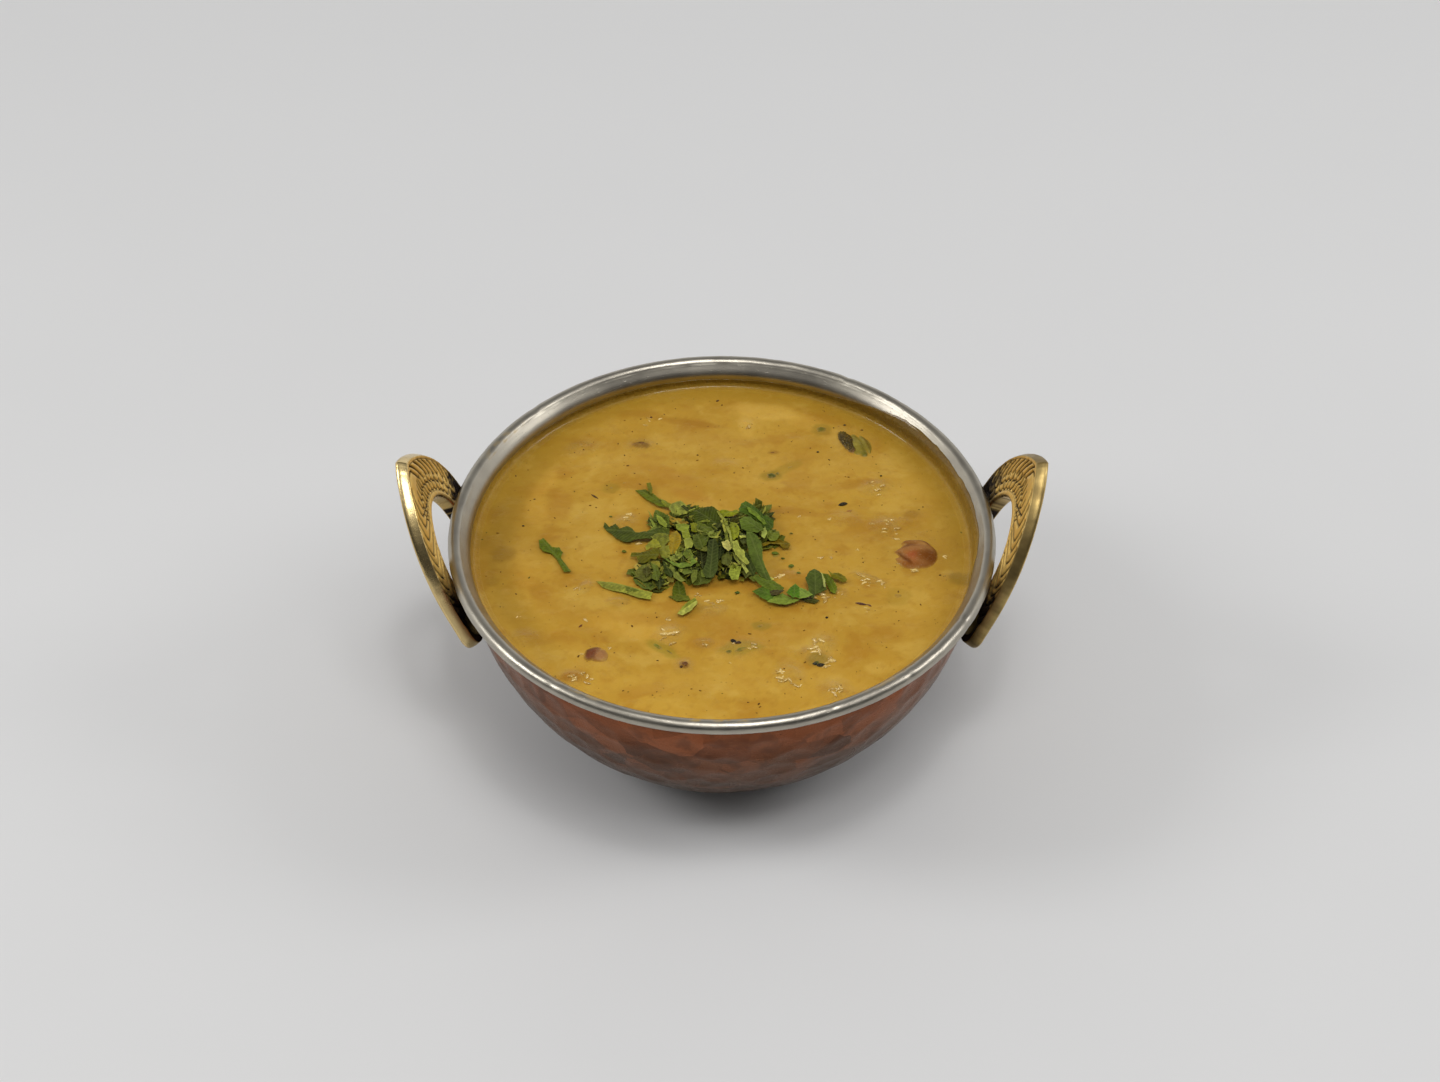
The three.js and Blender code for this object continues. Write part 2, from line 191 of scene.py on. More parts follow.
# ------------------------------------------------------------------- materials
class Mat:
    """A small helper for node materials."""

    def __init__(self, name):
        self.m = bpy.data.materials.new(name)
        self.m.use_nodes = True
        self.nt = self.m.node_tree
        self.p = self.nt.nodes["Principled BSDF"]
        self.co = self.new("ShaderNodeTexCoord").outputs["Object"]

    def new(self, kind, **props):
        n = self.nt.nodes.new(kind)
        for k, v in props.items():
            setattr(n, k, v)
        return n

    def link(self, a, b):
        self.nt.links.new(a, b)

    def set(self, **values):
        for k, v in values.items():
            self.p.inputs[k.replace("_", " ")].default_value = v
        return self

    def scaled(self, scale, src=None):
        n = self.new("ShaderNodeMapping")
        n.inputs["Scale"].default_value = scale if hasattr(scale, "__len__") else (scale,) * 3
        self.link(src or self.co, n.inputs["Vector"])
        return n.outputs["Vector"]

    def noise(self, scale, detail=4.0, rough=0.55, distortion=0.0, src=None, out="Fac"):
        """scale is in cycles for each metre."""
        n = self.new("ShaderNodeTexNoise")
        n.inputs["Scale"].default_value = 1.0
        n.inputs["Detail"].default_value = detail
        n.inputs["Roughness"].default_value = rough
        n.inputs["Distortion"].default_value = distortion
        self.link(self.scaled(scale, src), n.inputs["Vector"])
        return n.outputs[out]

    def bent(self, amount, scale):
        """Object coordinates, pushed about by noise."""
        n = self.new("ShaderNodeTexNoise")
        n.inputs["Scale"].default_value = 1.0
        self.link(self.scaled(scale), n.inputs["Vector"])
        push = self.new("ShaderNodeVectorMath", operation="SCALE")
        self.link(n.outputs["Color"], push.inputs[0])
        push.inputs["Scale"].default_value = amount
        add = self.new("ShaderNodeVectorMath", operation="ADD")
        self.link(self.co, add.inputs[0])
        self.link(push.outputs[0], add.inputs[1])
        return add.outputs[0]

    def cells(self, scale, feature="F1", src=None, out="Distance", randomness=1.0):
        n = self.new("ShaderNodeTexVoronoi", feature=feature)
        n.inputs["Scale"].default_value = 1.0
        n.inputs["Randomness"].default_value = randomness
        self.link(self.scaled(scale, src), n.inputs["Vector"])
        return n.outputs[out]

    def ramp(self, src, stops):
        n = self.new("ShaderNodeValToRGB")
        r = n.color_ramp
        while len(r.elements) < len(stops):
            r.elements.new(0.5)
        for e, (pos, col) in zip(r.elements, stops):
            e.position = pos
            e.color = (col, col, col, 1) if not hasattr(col, "__len__") else (*col, 1)
        self.link(src, n.inputs["Fac"])
        return n.outputs["Color"]

    def mixc(self, a, b, fac, blend="MIX"):
        n = self.new("ShaderNodeMix", data_type="RGBA", blend_type=blend)
        for sock, v in ((n.inputs["Factor"], fac), (n.inputs[6], a), (n.inputs[7], b)):
            if isinstance(v, bpy.types.NodeSocket):
                self.link(v, sock)
            else:
                sock.default_value = v if not hasattr(v, "__len__") else (*v, 1)[:4]
        return n.outputs[2]

    def math(self, op, a, b=0.0, clamp=False):
        n = self.new("ShaderNodeMath", operation=op, use_clamp=clamp)
        for sock, v in zip(n.inputs, (a, b)):
            if isinstance(v, bpy.types.NodeSocket):
                self.link(v, sock)
            else:
                sock.default_value = v
        return n.outputs[0]

    def attr(self, name, out="Color"):
        n = self.new("ShaderNodeAttribute", attribute_name=name)
        return n.outputs[out]

    def split(self, src):
        n = self.new("ShaderNodeSeparateXYZ")
        self.link(src, n.inputs[0])
        return n.outputs

    def join(self, x=0.0, y=0.0, z=0.0):
        n = self.new("ShaderNodeCombineXYZ")
        for sock, v in zip(n.inputs, (x, y, z)):
            if isinstance(v, bpy.types.NodeSocket):
                self.link(v, sock)
            else:
                sock.default_value = v
        return n.outputs[0]

    def bump(self, height, distance, strength=1.0, after=None):
        n = self.new("ShaderNodeBump")
        n.inputs["Distance"].default_value = distance
        n.inputs["Strength"].default_value = strength
        self.link(height, n.inputs["Height"])
        if after is not None:
            self.link(after, n.inputs["Normal"])
        return n.outputs["Normal"]

    def out(self, **links):
        for k, v in links.items():
            self.link(v, self.p.inputs[k.replace("_", " ")])
        return self.m


def steel_material():
    m = Mat("steel_satin")
    m.set(Metallic=1.0)
    x, y, z = m.split(m.co)
    s = m.split(m.attr("ring", "Vector"))[0]
    along = m.join(m.math("MULTIPLY", x, 70.0), m.math("MULTIPLY", y, 70.0), m.math("MULTIPLY", s, 7.0))
    scratch = m.noise(1.0, 5, 0.7, src=along)
    fine = m.noise(2600, 3, 0.6)
    cloud = m.noise(140, 3, 0.5)
    pits = m.ramp(m.cells(950), [(0.0, 0.0), (0.10, 0.25), (0.16, 1.0)])
    rough = m.math("ADD", m.math("MULTIPLY", scratch, 0.13), m.math("MULTIPLY", cloud, 0.10))
    rough = m.math("ADD", rough, m.math("ADD", m.math("MULTIPLY", fine, 0.06), 0.20))
    smear = m.attr("smear")
    tone = m.ramp(cloud, [(0.3, lin(163, 157, 145)), (0.7, lin(180, 174, 160))])
    tone = m.mixc(tone, lin(120, 112, 100), m.math("MULTIPLY", m.math("SUBTRACT", 1.0, pits), 0.35))
    tone = m.mixc(tone, lin(168, 134, 46), smear)
    height = m.math("ADD", m.math("MULTIPLY", scratch, 0.4), m.math("MULTIPLY", fine, 0.5))
    n = m.bump(height, 0.00004, 0.7)
    n = m.bump(pits, 0.00005, 0.6, after=n)
    return m.out(Base_Color=tone, Metallic=m.math("SUBTRACT", 1.0, smear), Roughness=rough, Normal=n)


def copper_material():
    m = Mat("copper_hammered")
    m.set(Metallic=1.0, Specular_Tint=(0.95, 0.86, 0.80, 1.0))
    cloud = m.noise(55, 4, 0.55, 0.3)
    blot = m.noise(170, 4, 0.6, 0.4)
    fine = m.noise(1400, 4, 0.6)
    z = m.math("MULTIPLY", m.split(m.co)[2], 1000.0 / 64.0)
    scratch = m.noise((180, 180, 2200), 4, 0.7)
    nick = m.noise((1500, 1500, 240), 3, 0.6)
    tone = m.ramp(cloud, [(0.3, lin(88, 55, 37)), (0.5, lin(104, 64, 43)), (0.7, lin(120, 75, 50))])
    # each facet has its own tone
    facet = m.cells((105, 105, 150), out="Color", src=m.bent(0.0022, 190))
    facet = m.split(facet)[0]
    tone = m.mixc(tone, lin(66, 42, 32), m.ramp(facet, [(0.05, 0.75), (0.42, 0.0)]))
    tone = m.mixc(tone, lin(150, 92, 62), m.ramp(facet, [(0.62, 0.0), (0.98, 0.75)]))
    tone = m.mixc(tone, lin(66, 46, 38), m.ramp(blot, [(0.50, 0.0), (0.66, 0.55)]))
    # painted highlight: lighter, redder patches near the top of the copper
    top_highlight = m.math("MULTIPLY", m.ramp(z, [(0.68, 0.0), (0.86, 1.0)]), m.ramp(blot, [(0.36, 0.8), (0.6, 0.3)]))
    tone = m.mixc(tone, lin(134, 76, 48), top_highlight)
    # painted shade: darker towards the bottom, dimming the lower wall's reflection of the floor
    tone = m.mixc(tone, lin(48, 27, 15), m.ramp(z, [(0.05, 0.9), (0.5, 0.62), (0.78, 0.0)]))
    tone = m.mixc(tone, lin(160, 108, 76), m.ramp(scratch, [(0.62, 0.0), (0.72, 0.5)]))
    tone = m.mixc(tone, lin(30, 20, 16), m.ramp(m.cells(240), [(0.0, 0.85), (0.08, 0.0)]))
    rough = m.math("ADD", m.math("MULTIPLY", blot, 0.20), m.math("MULTIPLY", scratch, 0.10))
    rough = m.math("ADD", rough, 0.13)
    n = m.bump(scratch, 0.00005, 0.5)
    n = m.bump(nick, 0.00003, 0.5, after=n)
    n = m.bump(fine, 0.00003, 0.5, after=n)
    return m.out(Base_Color=tone, Roughness=rough, Normal=n)


def brass_material():
    m = Mat("brass_cast")
    m.set(Metallic=1.0)
    cloud = m.noise(130, 4, 0.6)
    fine = m.noise(1700, 4, 0.65)
    grain = m.noise(4200, 2, 0.5)
    look = m.split(m.attr("look", "Vector"))      # groove, patina with painted shade, worn edge
    groove, patina_and_shade, worn = look[0], look[1], look[2]
    face = m.attr("face")
    tone = m.ramp(cloud, [(0.3, lin(206, 174, 104)), (0.7, lin(222, 192, 122))])
    tone = m.mixc(tone, lin(232, 190, 98), m.math("MULTIPLY", face, 0.8))
    tone = m.mixc(tone, lin(236, 216, 168), m.math("MULTIPLY", worn, 0.7))
    tone = m.mixc(tone, lin(34, 20, 9), groove)
    # black patina and painted shade near the rim and the feet
    tone = m.mixc(tone, lin(30, 19, 12), patina_and_shade)
    rough = m.math("ADD", m.math("MULTIPLY", fine, 0.14), 0.18)
    rough = m.math("ADD", rough, m.math("MULTIPLY", groove, 0.30))
    rough = m.math("ADD", rough, m.math("MULTIPLY", patina_and_shade, 0.30))
    rough = m.math("ADD", rough, m.math("MULTIPLY", face, 0.14))
    n = m.bump(fine, 0.00003, 0.5)
    n = m.bump(grain, 0.00001, 0.5, after=n)
    return m.out(Base_Color=tone, Roughness=rough, Normal=n, Metallic=m.math("SUBTRACT", 1.0, m.math("MULTIPLY", face, 0.55)))


def sauce_material():
    m = Mat("korma_sauce")
    m.set(Specular_IOR_Level=0.26, Subsurface_Weight=0.10, Subsurface_Scale=0.002, Coat_Roughness=0.07, Specular_Tint=(1.0, 0.88, 0.55, 1.0))
    m.p.inputs["Subsurface Radius"].default_value = (1.0, 0.55, 0.2)
    tint = m.attr("tint")
    wet = m.attr("wet")
    soft = m.noise(260, 5, 0.6, 0.6)
    grain = m.noise(1300, 3, 0.55)
    curd = m.noise(950, 4, 0.6, 0.5)
    tone = m.mixc(tint, lin(158, 114, 34), m.ramp(soft, [(0.52, 0.0), (0.74, 0.26)]))
    tone = m.mixc(tone, lin(200, 164, 82), m.ramp(soft, [(0.26, 0.24), (0.46, 0.0)]))
    tone = m.mixc(tone, lin(148, 102, 30), m.ramp(grain, [(0.62, 0.0), (0.80, 0.24)]))
    tone = m.mixc(tone, lin(120, 82, 24), m.math("MULTIPLY", m.ramp(m.cells(300), [(0.0, 1.0), (0.05, 0.8), (0.10, 0.0)]), 0.40))
    rough = m.math("ADD", m.math("MULTIPLY", soft, 0.14), 0.38)
    coat = m.math("MULTIPLY", wet, 0.5)
    n = m.bump(soft, 0.00030, 0.30)
    n = m.bump(grain, 0.00006, 0.35, after=n)
    n = m.bump(m.math("MULTIPLY", curd, wet), 0.0007, 0.8, after=n)
    return m.out(Base_Color=tone, Roughness=rough, Normal=n, Coat_Weight=coat)


def leaf_material():
    m = Mat("coriander_leaf")
    m.set(Specular_IOR_Level=0.20, Specular_Tint=(1.0, 1.0, 0.5, 1.0))
    tint = m.attr("tint")
    lc = m.split(m.attr("leafco", "Vector"))      # along, across (mm), kind
    along, across, kind = lc[0], m.math("ABSOLUTE", lc[1]), lc[2]
    wobble = m.noise(900, 2, 0.5)
    side = m.math("ADD", m.math("MULTIPLY", along, 0.95), m.math("MULTIPLY", across, 0.8))
    side = m.math("ADD", side, m.math("MULTIPLY", wobble, 0.5))
    tri = m.math("ABSOLUTE", m.math("SUBTRACT", m.math("FRACT", side), 0.5))
    vein = m.ramp(tri, [(0.0, 1.0), (0.09, 0.5), (0.2, 0.0)])
    mid = m.ramp(across, [(0.0, 1.0), (0.14, 0.7), (0.26, 0.0)])
    ribs = m.math("ABSOLUTE", m.math("SUBTRACT", m.math("FRACT", m.math("MULTIPLY", across, 1.9)), 0.5))
    vein = m.math("MAXIMUM", m.math("MULTIPLY", vein, 0.8), mid)
    vein = m.mixc(vein, m.math("MULTIPLY", ribs, 1.6), kind)
    mottle = m.noise(1400, 4, 0.6)
    tone = m.mixc(tint, (0.0, 0.0, 0.0), m.ramp(mottle, [(0.35, 0.28), (0.6, 0.0)]))
    tone = m.mixc(tone, m.mixc(tint, lin(146, 154, 84), 0.5), m.math("MULTIPLY", vein, 0.30))
    rough = m.math("ADD", m.math("MULTIPLY", mottle, 0.30), 0.36)
    n = m.bump(vein, 0.00012, 0.6)
    n = m.bump(mottle, 0.00022, 0.6, after=n)
    return m.out(Base_Color=tone, Roughness=rough, Normal=n)


def wet_material(name, rough_low, bump_scale, dark, amount=0.35, spec=0.4, coat=0.0):
    """Food in wet sauce, coloured by its tint."""
    m = Mat(name)
    m.set(Specular_IOR_Level=spec, Coat_Weight=coat, Coat_Roughness=0.05, Specular_Tint=(1.0, 0.86, 0.5, 1.0))
    tint = m.attr("tint")
    a = m.noise(bump_scale, 4, 0.6)
    b = m.noise(bump_scale * 4, 3, 0.55)
    tone = m.mixc(tint, dark, m.math("MULTIPLY", m.ramp(a, [(0.4, 0.0), (0.7, 1.0)]), amount))
    tone = m.mixc(tone, m.mixc(tint, (1.0, 0.9, 0.6), 0.3), m.math("MULTIPLY", m.ramp(b, [(0.55, 0.0), (0.75, 1.0)]), 0.3))
    rough = m.math("ADD", m.math("MULTIPLY", b, 0.2), rough_low)
    n = m.bump(a, 0.0003, 0.4)
    n = m.bump(b, 0.0001, 0.4, after=n)
    return m.out(Base_Color=tone, Roughness=rough, Normal=n)


def floor_material():
    m = Mat("pale_floor")
    m.set(Specular_IOR_Level=0.35)
    soft = m.noise(9, 3, 0.5)
    tone = m.ramp(soft, [(0.3, (0.712, 0.709, 0.706)), (0.7, (0.724, 0.721, 0.718))])
    x, y, z = m.split(m.co)
    # painted light: brighter towards the back and a little towards the right
    tone = m.mixc(tone, (0.80, 0.798, 0.796), m.ramp(m.math("ADD", m.math("MULTIPLY", y, 1.2), m.math("MULTIPLY", x, 0.25)), [(0.10, 0.0), (0.60, 1.0)]))
    rough = m.math("ADD", m.math("MULTIPLY", soft, 0.06), 0.27)
    return m.out(Base_Color=tone, Roughness=rough)


# ------------------------------------------------------------- camera and light
def look_at(ob, target):
    d = Vector(target) - ob.location
    ob.rotation_euler = d.to_track_quat("-Z", "Y").to_euler()


cam_data = bpy.data.cameras.new("camera")
cam_data.lens = 60.0
cam_data.sensor_width = 36.0
cam_data.shift_x = -1.89 / 1440
cam_data.shift_y = -16.3 / 1440
cam_data.clip_start, cam_data.clip_end = 0.05, 20.0
cam = bpy.data.objects.new("camera", cam_data)
bpy.context.scene.collection.objects.link(cam)
theta = math.radians(42.77)
rim_top = Vector((0.0, 0.0, RIM_HEIGHT * MM))
cam.location = rim_top + Vector((0.0, -math.cos(theta), math.sin(theta))) * (8.765 * RIM_RADIUS * MM)
look_at(cam, rim_top)
bpy.context.scene.camera = cam


def softbox(name, at, target, wide, high, watts, colour=(1, 1, 1)):
    data = bpy.data.lights.new(name, "AREA")
    data.shape = "RECTANGLE"
    data.size, data.size_y = wide, high
    data.energy = watts
    data.color = colour
    ob = bpy.data.objects.new(name, data)
    ob.location = at
    bpy.context.scene.collection.objects.link(ob)
    look_at(ob, target)
    return ob


softbox("light_key", (0.137, -0.37, 1.23), (0, 0, 0), 0.52, 0.52, 4.8)
softbox("light_spark", (0.10, -0.30, 1.27), (0, 0, 0), 0.13, 0.13, 1.1)
softbox("light_left", (-0.84, -0.07, 0.707), (0, 0, 0.05), 0.30, 0.42, 3.05)
softbox("light_right", (0.843, 0.0, 0.707), (0, 0, 0.05), 0.30, 0.42, 2.05)

# the room: bright low behind and at the sides, dark low on the viewer's side
world = bpy.data.worlds.new("studio")
bpy.context.scene.world = world
world.use_nodes = True
wt = world.node_tree
wt.nodes.clear()


def w_math(op, a, b):
    n = wt.nodes.new("ShaderNodeMath")
    n.operation = op
    for sock, v in zip(n.inputs, (a, b)):
        if isinstance(v, bpy.types.NodeSocket):
            wt.links.new(v, sock)
        else:
            sock.default_value = v
    return n.outputs[0]


def w_step(src, low, high):
    """0 below low, 1 above high (or the other way round)."""
    n = wt.nodes.new("ShaderNodeMapRange")
    n.interpolation_type = "SMOOTHSTEP"
    wt.links.new(src, n.inputs["Value"])
    a, b, c, d = (low, high, 0.0, 1.0) if low < high else (high, low, 1.0, 0.0)
    for key, v in zip(("From Min", "From Max", "To Min", "To Max"), (a, b, c, d)):
        n.inputs[key].default_value = v
    return n.outputs["Result"]


def w_blend(a, b, k):
    return w_math("ADD", w_math("MULTIPLY", a, w_math("SUBTRACT", 1.0, k)), w_math("MULTIPLY", b, k))


w_out = wt.nodes.new("ShaderNodeOutputWorld")
w_bg = wt.nodes.new("ShaderNodeBackground")
w_co = wt.nodes.new("ShaderNodeTexCoord")
w_sep = wt.nodes.new("ShaderNodeSeparateXYZ")
wt.links.new(w_co.outputs["Generated"], w_sep.inputs[0])
wx_, wy_, wz_ = w_sep.outputs
glow = w_blend(0.42, 0.50, w_step(wz_, 0.85, 1.0))
glow = w_blend(glow, 0.16, w_math("MULTIPLY", w_step(wy_, 0.1, 0.3), w_math("MULTIPLY", w_step(wz_, 0.62, 0.80), w_step(wz_, 0.99, 0.93))))
glow = w_blend(glow, 0.80, w_math("MULTIPLY", w_step(wy_, -0.25, 0.05), w_step(wz_, 0.50, 0.34)))
glow = w_blend(glow, 0.05, w_math("MULTIPLY", w_step(wy_, -0.12, -0.40), w_step(wz_, 0.78, 0.55)))
wt.links.new(glow, w_bg.inputs["Color"])
wt.links.new(w_bg.outputs["Background"], w_out.inputs["Surface"])
w_bg.inputs["Strength"].default_value = 1.0

view = bpy.context.scene.view_settings
view.view_transform = "Standard"
view.look = "None"
view.exposure = 0.0
view.gamma = 1.0

floor_me = bpy.data.meshes.new("floor")
floor_me.from_pydata([(-3, -3, 0), (3, -3, 0), (3, 3, 0), (-3, 3, 0)], [], [(0, 1, 2, 3)])
floor_me.materials.append(floor_material())
floor = bpy.data.objects.new("floor", floor_me)
bpy.context.scene.collection.objects.link(floor)


# ------------------------------------------------------------------------ bowl
def arc(R, low, high, steps):
    a = np.linspace(math.asin((low - BOWL_CENTRE) / R), math.asin((high - BOWL_CENTRE) / R), steps + 1)
    return np.stack([R * np.cos(a), BOWL_CENTRE + R * np.sin(a)], axis=1)


def turned(profile, around):
    """Vertices and faces of a profile that starts and ends on the axis. Also the
    angle, the place along the profile, and the profile's row of each vertex."""
    profile = np.asarray(profile, float)
    inner = profile[1:-1]
    th = np.linspace(0, 2 * math.pi, around, endpoint=False)
    r, z = inner[:, 0][:, None], inner[:, 1][:, None]
    ring = np.stack([r * np.cos(th), r * np.sin(th), z + 0 * th], axis=-1).reshape(-1, 3)
    s = np.concatenate([[0], np.cumsum(np.hypot(*np.diff(profile, axis=0).T))])
    v = np.concatenate([ring, [[0, 0, profile[0, 1]], [0, 0, profile[-1, 1]]]])
    rows = len(inner)
    q = grid_faces(rows, around, wrap=True)
    first, last = len(ring), len(ring) + 1
    t = np.concatenate([fan(first, np.arange(around), flip=True), fan(last, (rows - 1) * around + np.arange(around))])
    angle = np.concatenate([np.tile(th, rows), [0, 0]])
    place = np.concatenate([np.repeat(s[1:-1], around), [s[0], s[-1]]])
    row = np.concatenate([np.repeat(np.arange(rows), around), [-1, rows]])
    return v, q, t, angle, place, row


def outward(v, quads, tris):
    """The same faces, turned so that they face out."""
    vol = 0.0
    for f in (quads, tris):
        if len(f):
            p = v[f]
            vol += np.einsum("ij,ij->i", p[:, 0], np.cross(p[:, 1], p[:, 2])).sum()
            if f.shape[1] == 4:
                vol += np.einsum("ij,ij->i", p[:, 0], np.cross(p[:, 2], p[:, 3])).sum()
    if vol < 0:
        quads = quads[:, ::-1] if len(quads) else quads
        tris = tris[:, ::-1] if len(tris) else tris
    return quads, tris


def make_liner():
    AROUND = 540
    bc = np.array([RIM_RADIUS - BEAD_RADIUS, RIM_HEIGHT - BEAD_RADIUS])
    floor_z = 1.6
    r0 = math.sqrt(LINER_IN ** 2 - (BOWL_CENTRE - floor_z) ** 2)
    inside = [(r, floor_z) for r in np.linspace(0, r0, 5)[:-1]]
    inside += [tuple(p) for p in arc(LINER_IN, floor_z, 55.0, 8)[:-1]]
    inside += [tuple(p) for p in arc(LINER_IN, 55.0, 59.5, 7)]
    # the wall bends over into the roll in one smooth curve
    a = np.radians(np.linspace(148, -150, 58))
    bead = bc + BEAD_RADIUS * np.stack([np.cos(a), np.sin(a)], axis=1)
    p0, p1 = np.array(inside[-1]), bead[0]
    t0, t1 = np.array([0.02, 1.0]), np.array([math.sin(a[0]), -math.cos(a[0])])
    flare = []
    for k in np.linspace(0, 1, 14)[1:-1]:
        h = (2 * k ** 3 - 3 * k ** 2 + 1, k ** 3 - 2 * k ** 2 + k, -2 * k ** 3 + 3 * k ** 2, k ** 3 - k ** 2)
        flare.append(tuple(h[0] * p0 + h[1] * t0 * 4.0 + h[2] * p1 + h[3] * t1 * 3.2))
    outside = [(LINER_OUT, 60.7)] + [tuple(p) for p in arc(LINER_OUT, floor_z - 0.65, 60.3, 8)[::-1]] + [(r0 * 0.5, floor_z - 0.65), (0, floor_z - 0.65)]
    profile = inside + flare + [tuple(p) for p in bead] + outside
    v, q, t, th, s, row = turned(profile, AROUND)
    n1, n2 = Noise(3), Noise(4)
    first = len(inside) + len(flare) - 1
    is_bead = (row >= first) & (row < first + len(bead))
    r = np.hypot(v[:, 0], v[:, 1])
    # the rolled rim is not quite even: small flats, all inward
    off = np.stack([r - bc[0], v[:, 2] - bc[1]], axis=1)
    ln = np.maximum(np.hypot(*off.T), 1e-6)
    amount = 0.05 + 0.09 * n1(4.2 * np.cos(th) * 3, 4.2 * np.sin(th) * 3, off[:, 0] * 0.5) + 0.05 * n2(40 * np.cos(th), 40 * np.sin(th), off[:, 1] * 0.9)
    amount = np.clip(amount, 0, 0.2) * is_bead
    for at, wide, deep in ((-1.18, 0.012, 0.22), (-2.2, 0.016, 0.16), (1.05, 0.013, 0.18), (2.4, 0.02, 0.15), (-0.52, 0.012, 0.22), (0.1, 0.02, 0.12), (-0.86, 0.01, 0.18)):
        d = (th - at + math.pi) % (2 * math.pi) - math.pi
        amount = amount + is_bead * deep * np.exp(-(d / wide) ** 2) * smooth(-0.6, 0.9, off[:, 0] / ln * 0.4 + off[:, 1] / ln)
    rr = r - off[:, 0] / ln * amount
    v[:, 2] -= off[:, 1] / ln * amount
    k = np.where(r > 1e-6, rr / np.maximum(r, 1e-6), 1)
    v[:, 0] *= k
    v[:, 1] *= k
    # thin smears of sauce on the front of the rim
    n3 = Noise(5)
    patch = n3.fbm(v[:, 0] / 2.4, v[:, 1] / 2.4, v[:, 2] / 0.9, 3)
    phi = np.degrees(np.arctan2(off[:, 1], off[:, 0]))
    deg = np.degrees(th) % 360
    window = smooth(5, 0, np.abs(deg - 269.5) - 3.5) * 0.9 + smooth(4, 0, np.abs(deg - 240) - 4) * 0.55 + smooth(3, 0, np.abs(deg - 305) - 3) * 0.45 + smooth(5, 0, np.abs(deg - 150) - 4) * 0.35
    smear = window * smooth(0.05, 0.3, patch + 0.12) * smooth(75, 95, phi) * is_bead
    q, t = outward(v, q, t)
    ob = mesh_object("steel_bowl", v, [q, t], steel_material(), colours={"smear": smear}, vectors={"ring": np.stack([s, s * 0, s * 0], axis=1)})
    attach(ob, "root")
    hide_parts("steel_liner")


def make_copper():
    AROUND = 560
    top = 60.7
    outside = [(0.0, 0.0)] + [(r, 0.0) for r in np.linspace(0, 29.5, 7)[1:]]
    wall = arc(SHELL_OUT - 0.02, 0.0, top, 110)
    # a small radius where the wall meets the foot
    w = []
    for r, z in wall:
        k = max(0.0, 1 - z / 1.6)
        w.append((r - 0.55 * k * k, z + 0.16 * k * k * 0))
    inside = arc(SHELL_IN, 0.6, top, 8)[::-1]
    profile = outside + w + [(SHELL_OUT - 0.2, top + 0.12), (SHELL_IN + 0.1, top + 0.12)] + [tuple(p) for p in inside] + [(0.0, 0.6)]
    v, q, t, th, s, row = turned(profile, AROUND)
    outer = row < len(outside) - 1 + len(w)
    # hammer marks: shallow round dents in uneven rows, with soft ridges between
    marks = []
    r = np.random.RandomState(8)
    lat = -58.0
    k = 0
    while lat < 2:
        ring_r = SHELL_OUT * math.cos(math.radians(lat))
        count = max(6, int(2 * math.pi * ring_r / 7.8))
        turn = r.uniform(0, 2 * math.pi)
        for i in range(count):
            a = turn + 2 * math.pi * i / count + r.normal(0, 0.16) / max(count / 50, 0.5) * 0.35
            b = math.radians(lat + r.normal(0, 0.9))
            marks.append((SHELL_OUT * math.cos(b) * math.cos(a), SHELL_OUT * math.cos(b) * math.sin(a), BOWL_CENTRE + SHELL_OUT * math.sin(b), r.uniform(0.6, 1.25)))
        lat += 6.0 + r.normal(0, 0.45)
        k += 1
    for ring_r in (6, 14, 22, 28):
        for i in range(int(ring_r)):
            a = 2 * math.pi * i / int(ring_r) + r.normal(0, 0.08)
            marks.append((ring_r * math.cos(a), ring_r * math.sin(a), 0.0, r.uniform(0.3, 0.6)))
    marks = np.array(marks)
    pts = v[outer]
    depth = np.zeros(len(pts))
    low = np.full(len(pts), 9.0)
    for x, y, z, strong in marks:
        d2 = (pts[:, 0] - x) ** 2 + (pts[:, 1] - y) ** 2 + (pts[:, 2] - z) ** 2
        near = d2 < 80
        h = d2[near] / (2 * 27.0) - 0.30 * strong
        low[near] = np.minimum(low[near], h)
    # soften the ridges: a dent never rises above the shell
    soft = np.clip(low, -0.50, 0.0)
    dent = -soft
    n = Noise(9)
    dent = dent + 0.035 * n.fbm(pts[:, 0] / 3.2, pts[:, 1] / 3.2, pts[:, 2] / 3.2, 3)
    dent = dent + 0.14 * (0.5 + n(pts[:, 0] / 15, pts[:, 1] / 15, pts[:, 2] / 15))
    dent = np.clip(dent, 0, 0.50)
    dent = dent * smooth(61.0, 58.6, pts[:, 2]) * (0.35 + 0.65 * smooth(0.0, 2.5, pts[:, 2]))
    rad_dir = pts - np.array([0, 0, BOWL_CENTRE])
    rad_dir /= np.linalg.norm(rad_dir, axis=1)[:, None]
    flat = pts[:, 2] < 0.01
    rad_dir[flat] = (0, 0, -1)
    v[outer] = pts - rad_dir * dent[:, None]
    q, t = outward(v, q, t)
    ob = mesh_object("hammered_copper", v, [q, t], copper_material())
    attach(ob, "root")
    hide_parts("copper_shell")


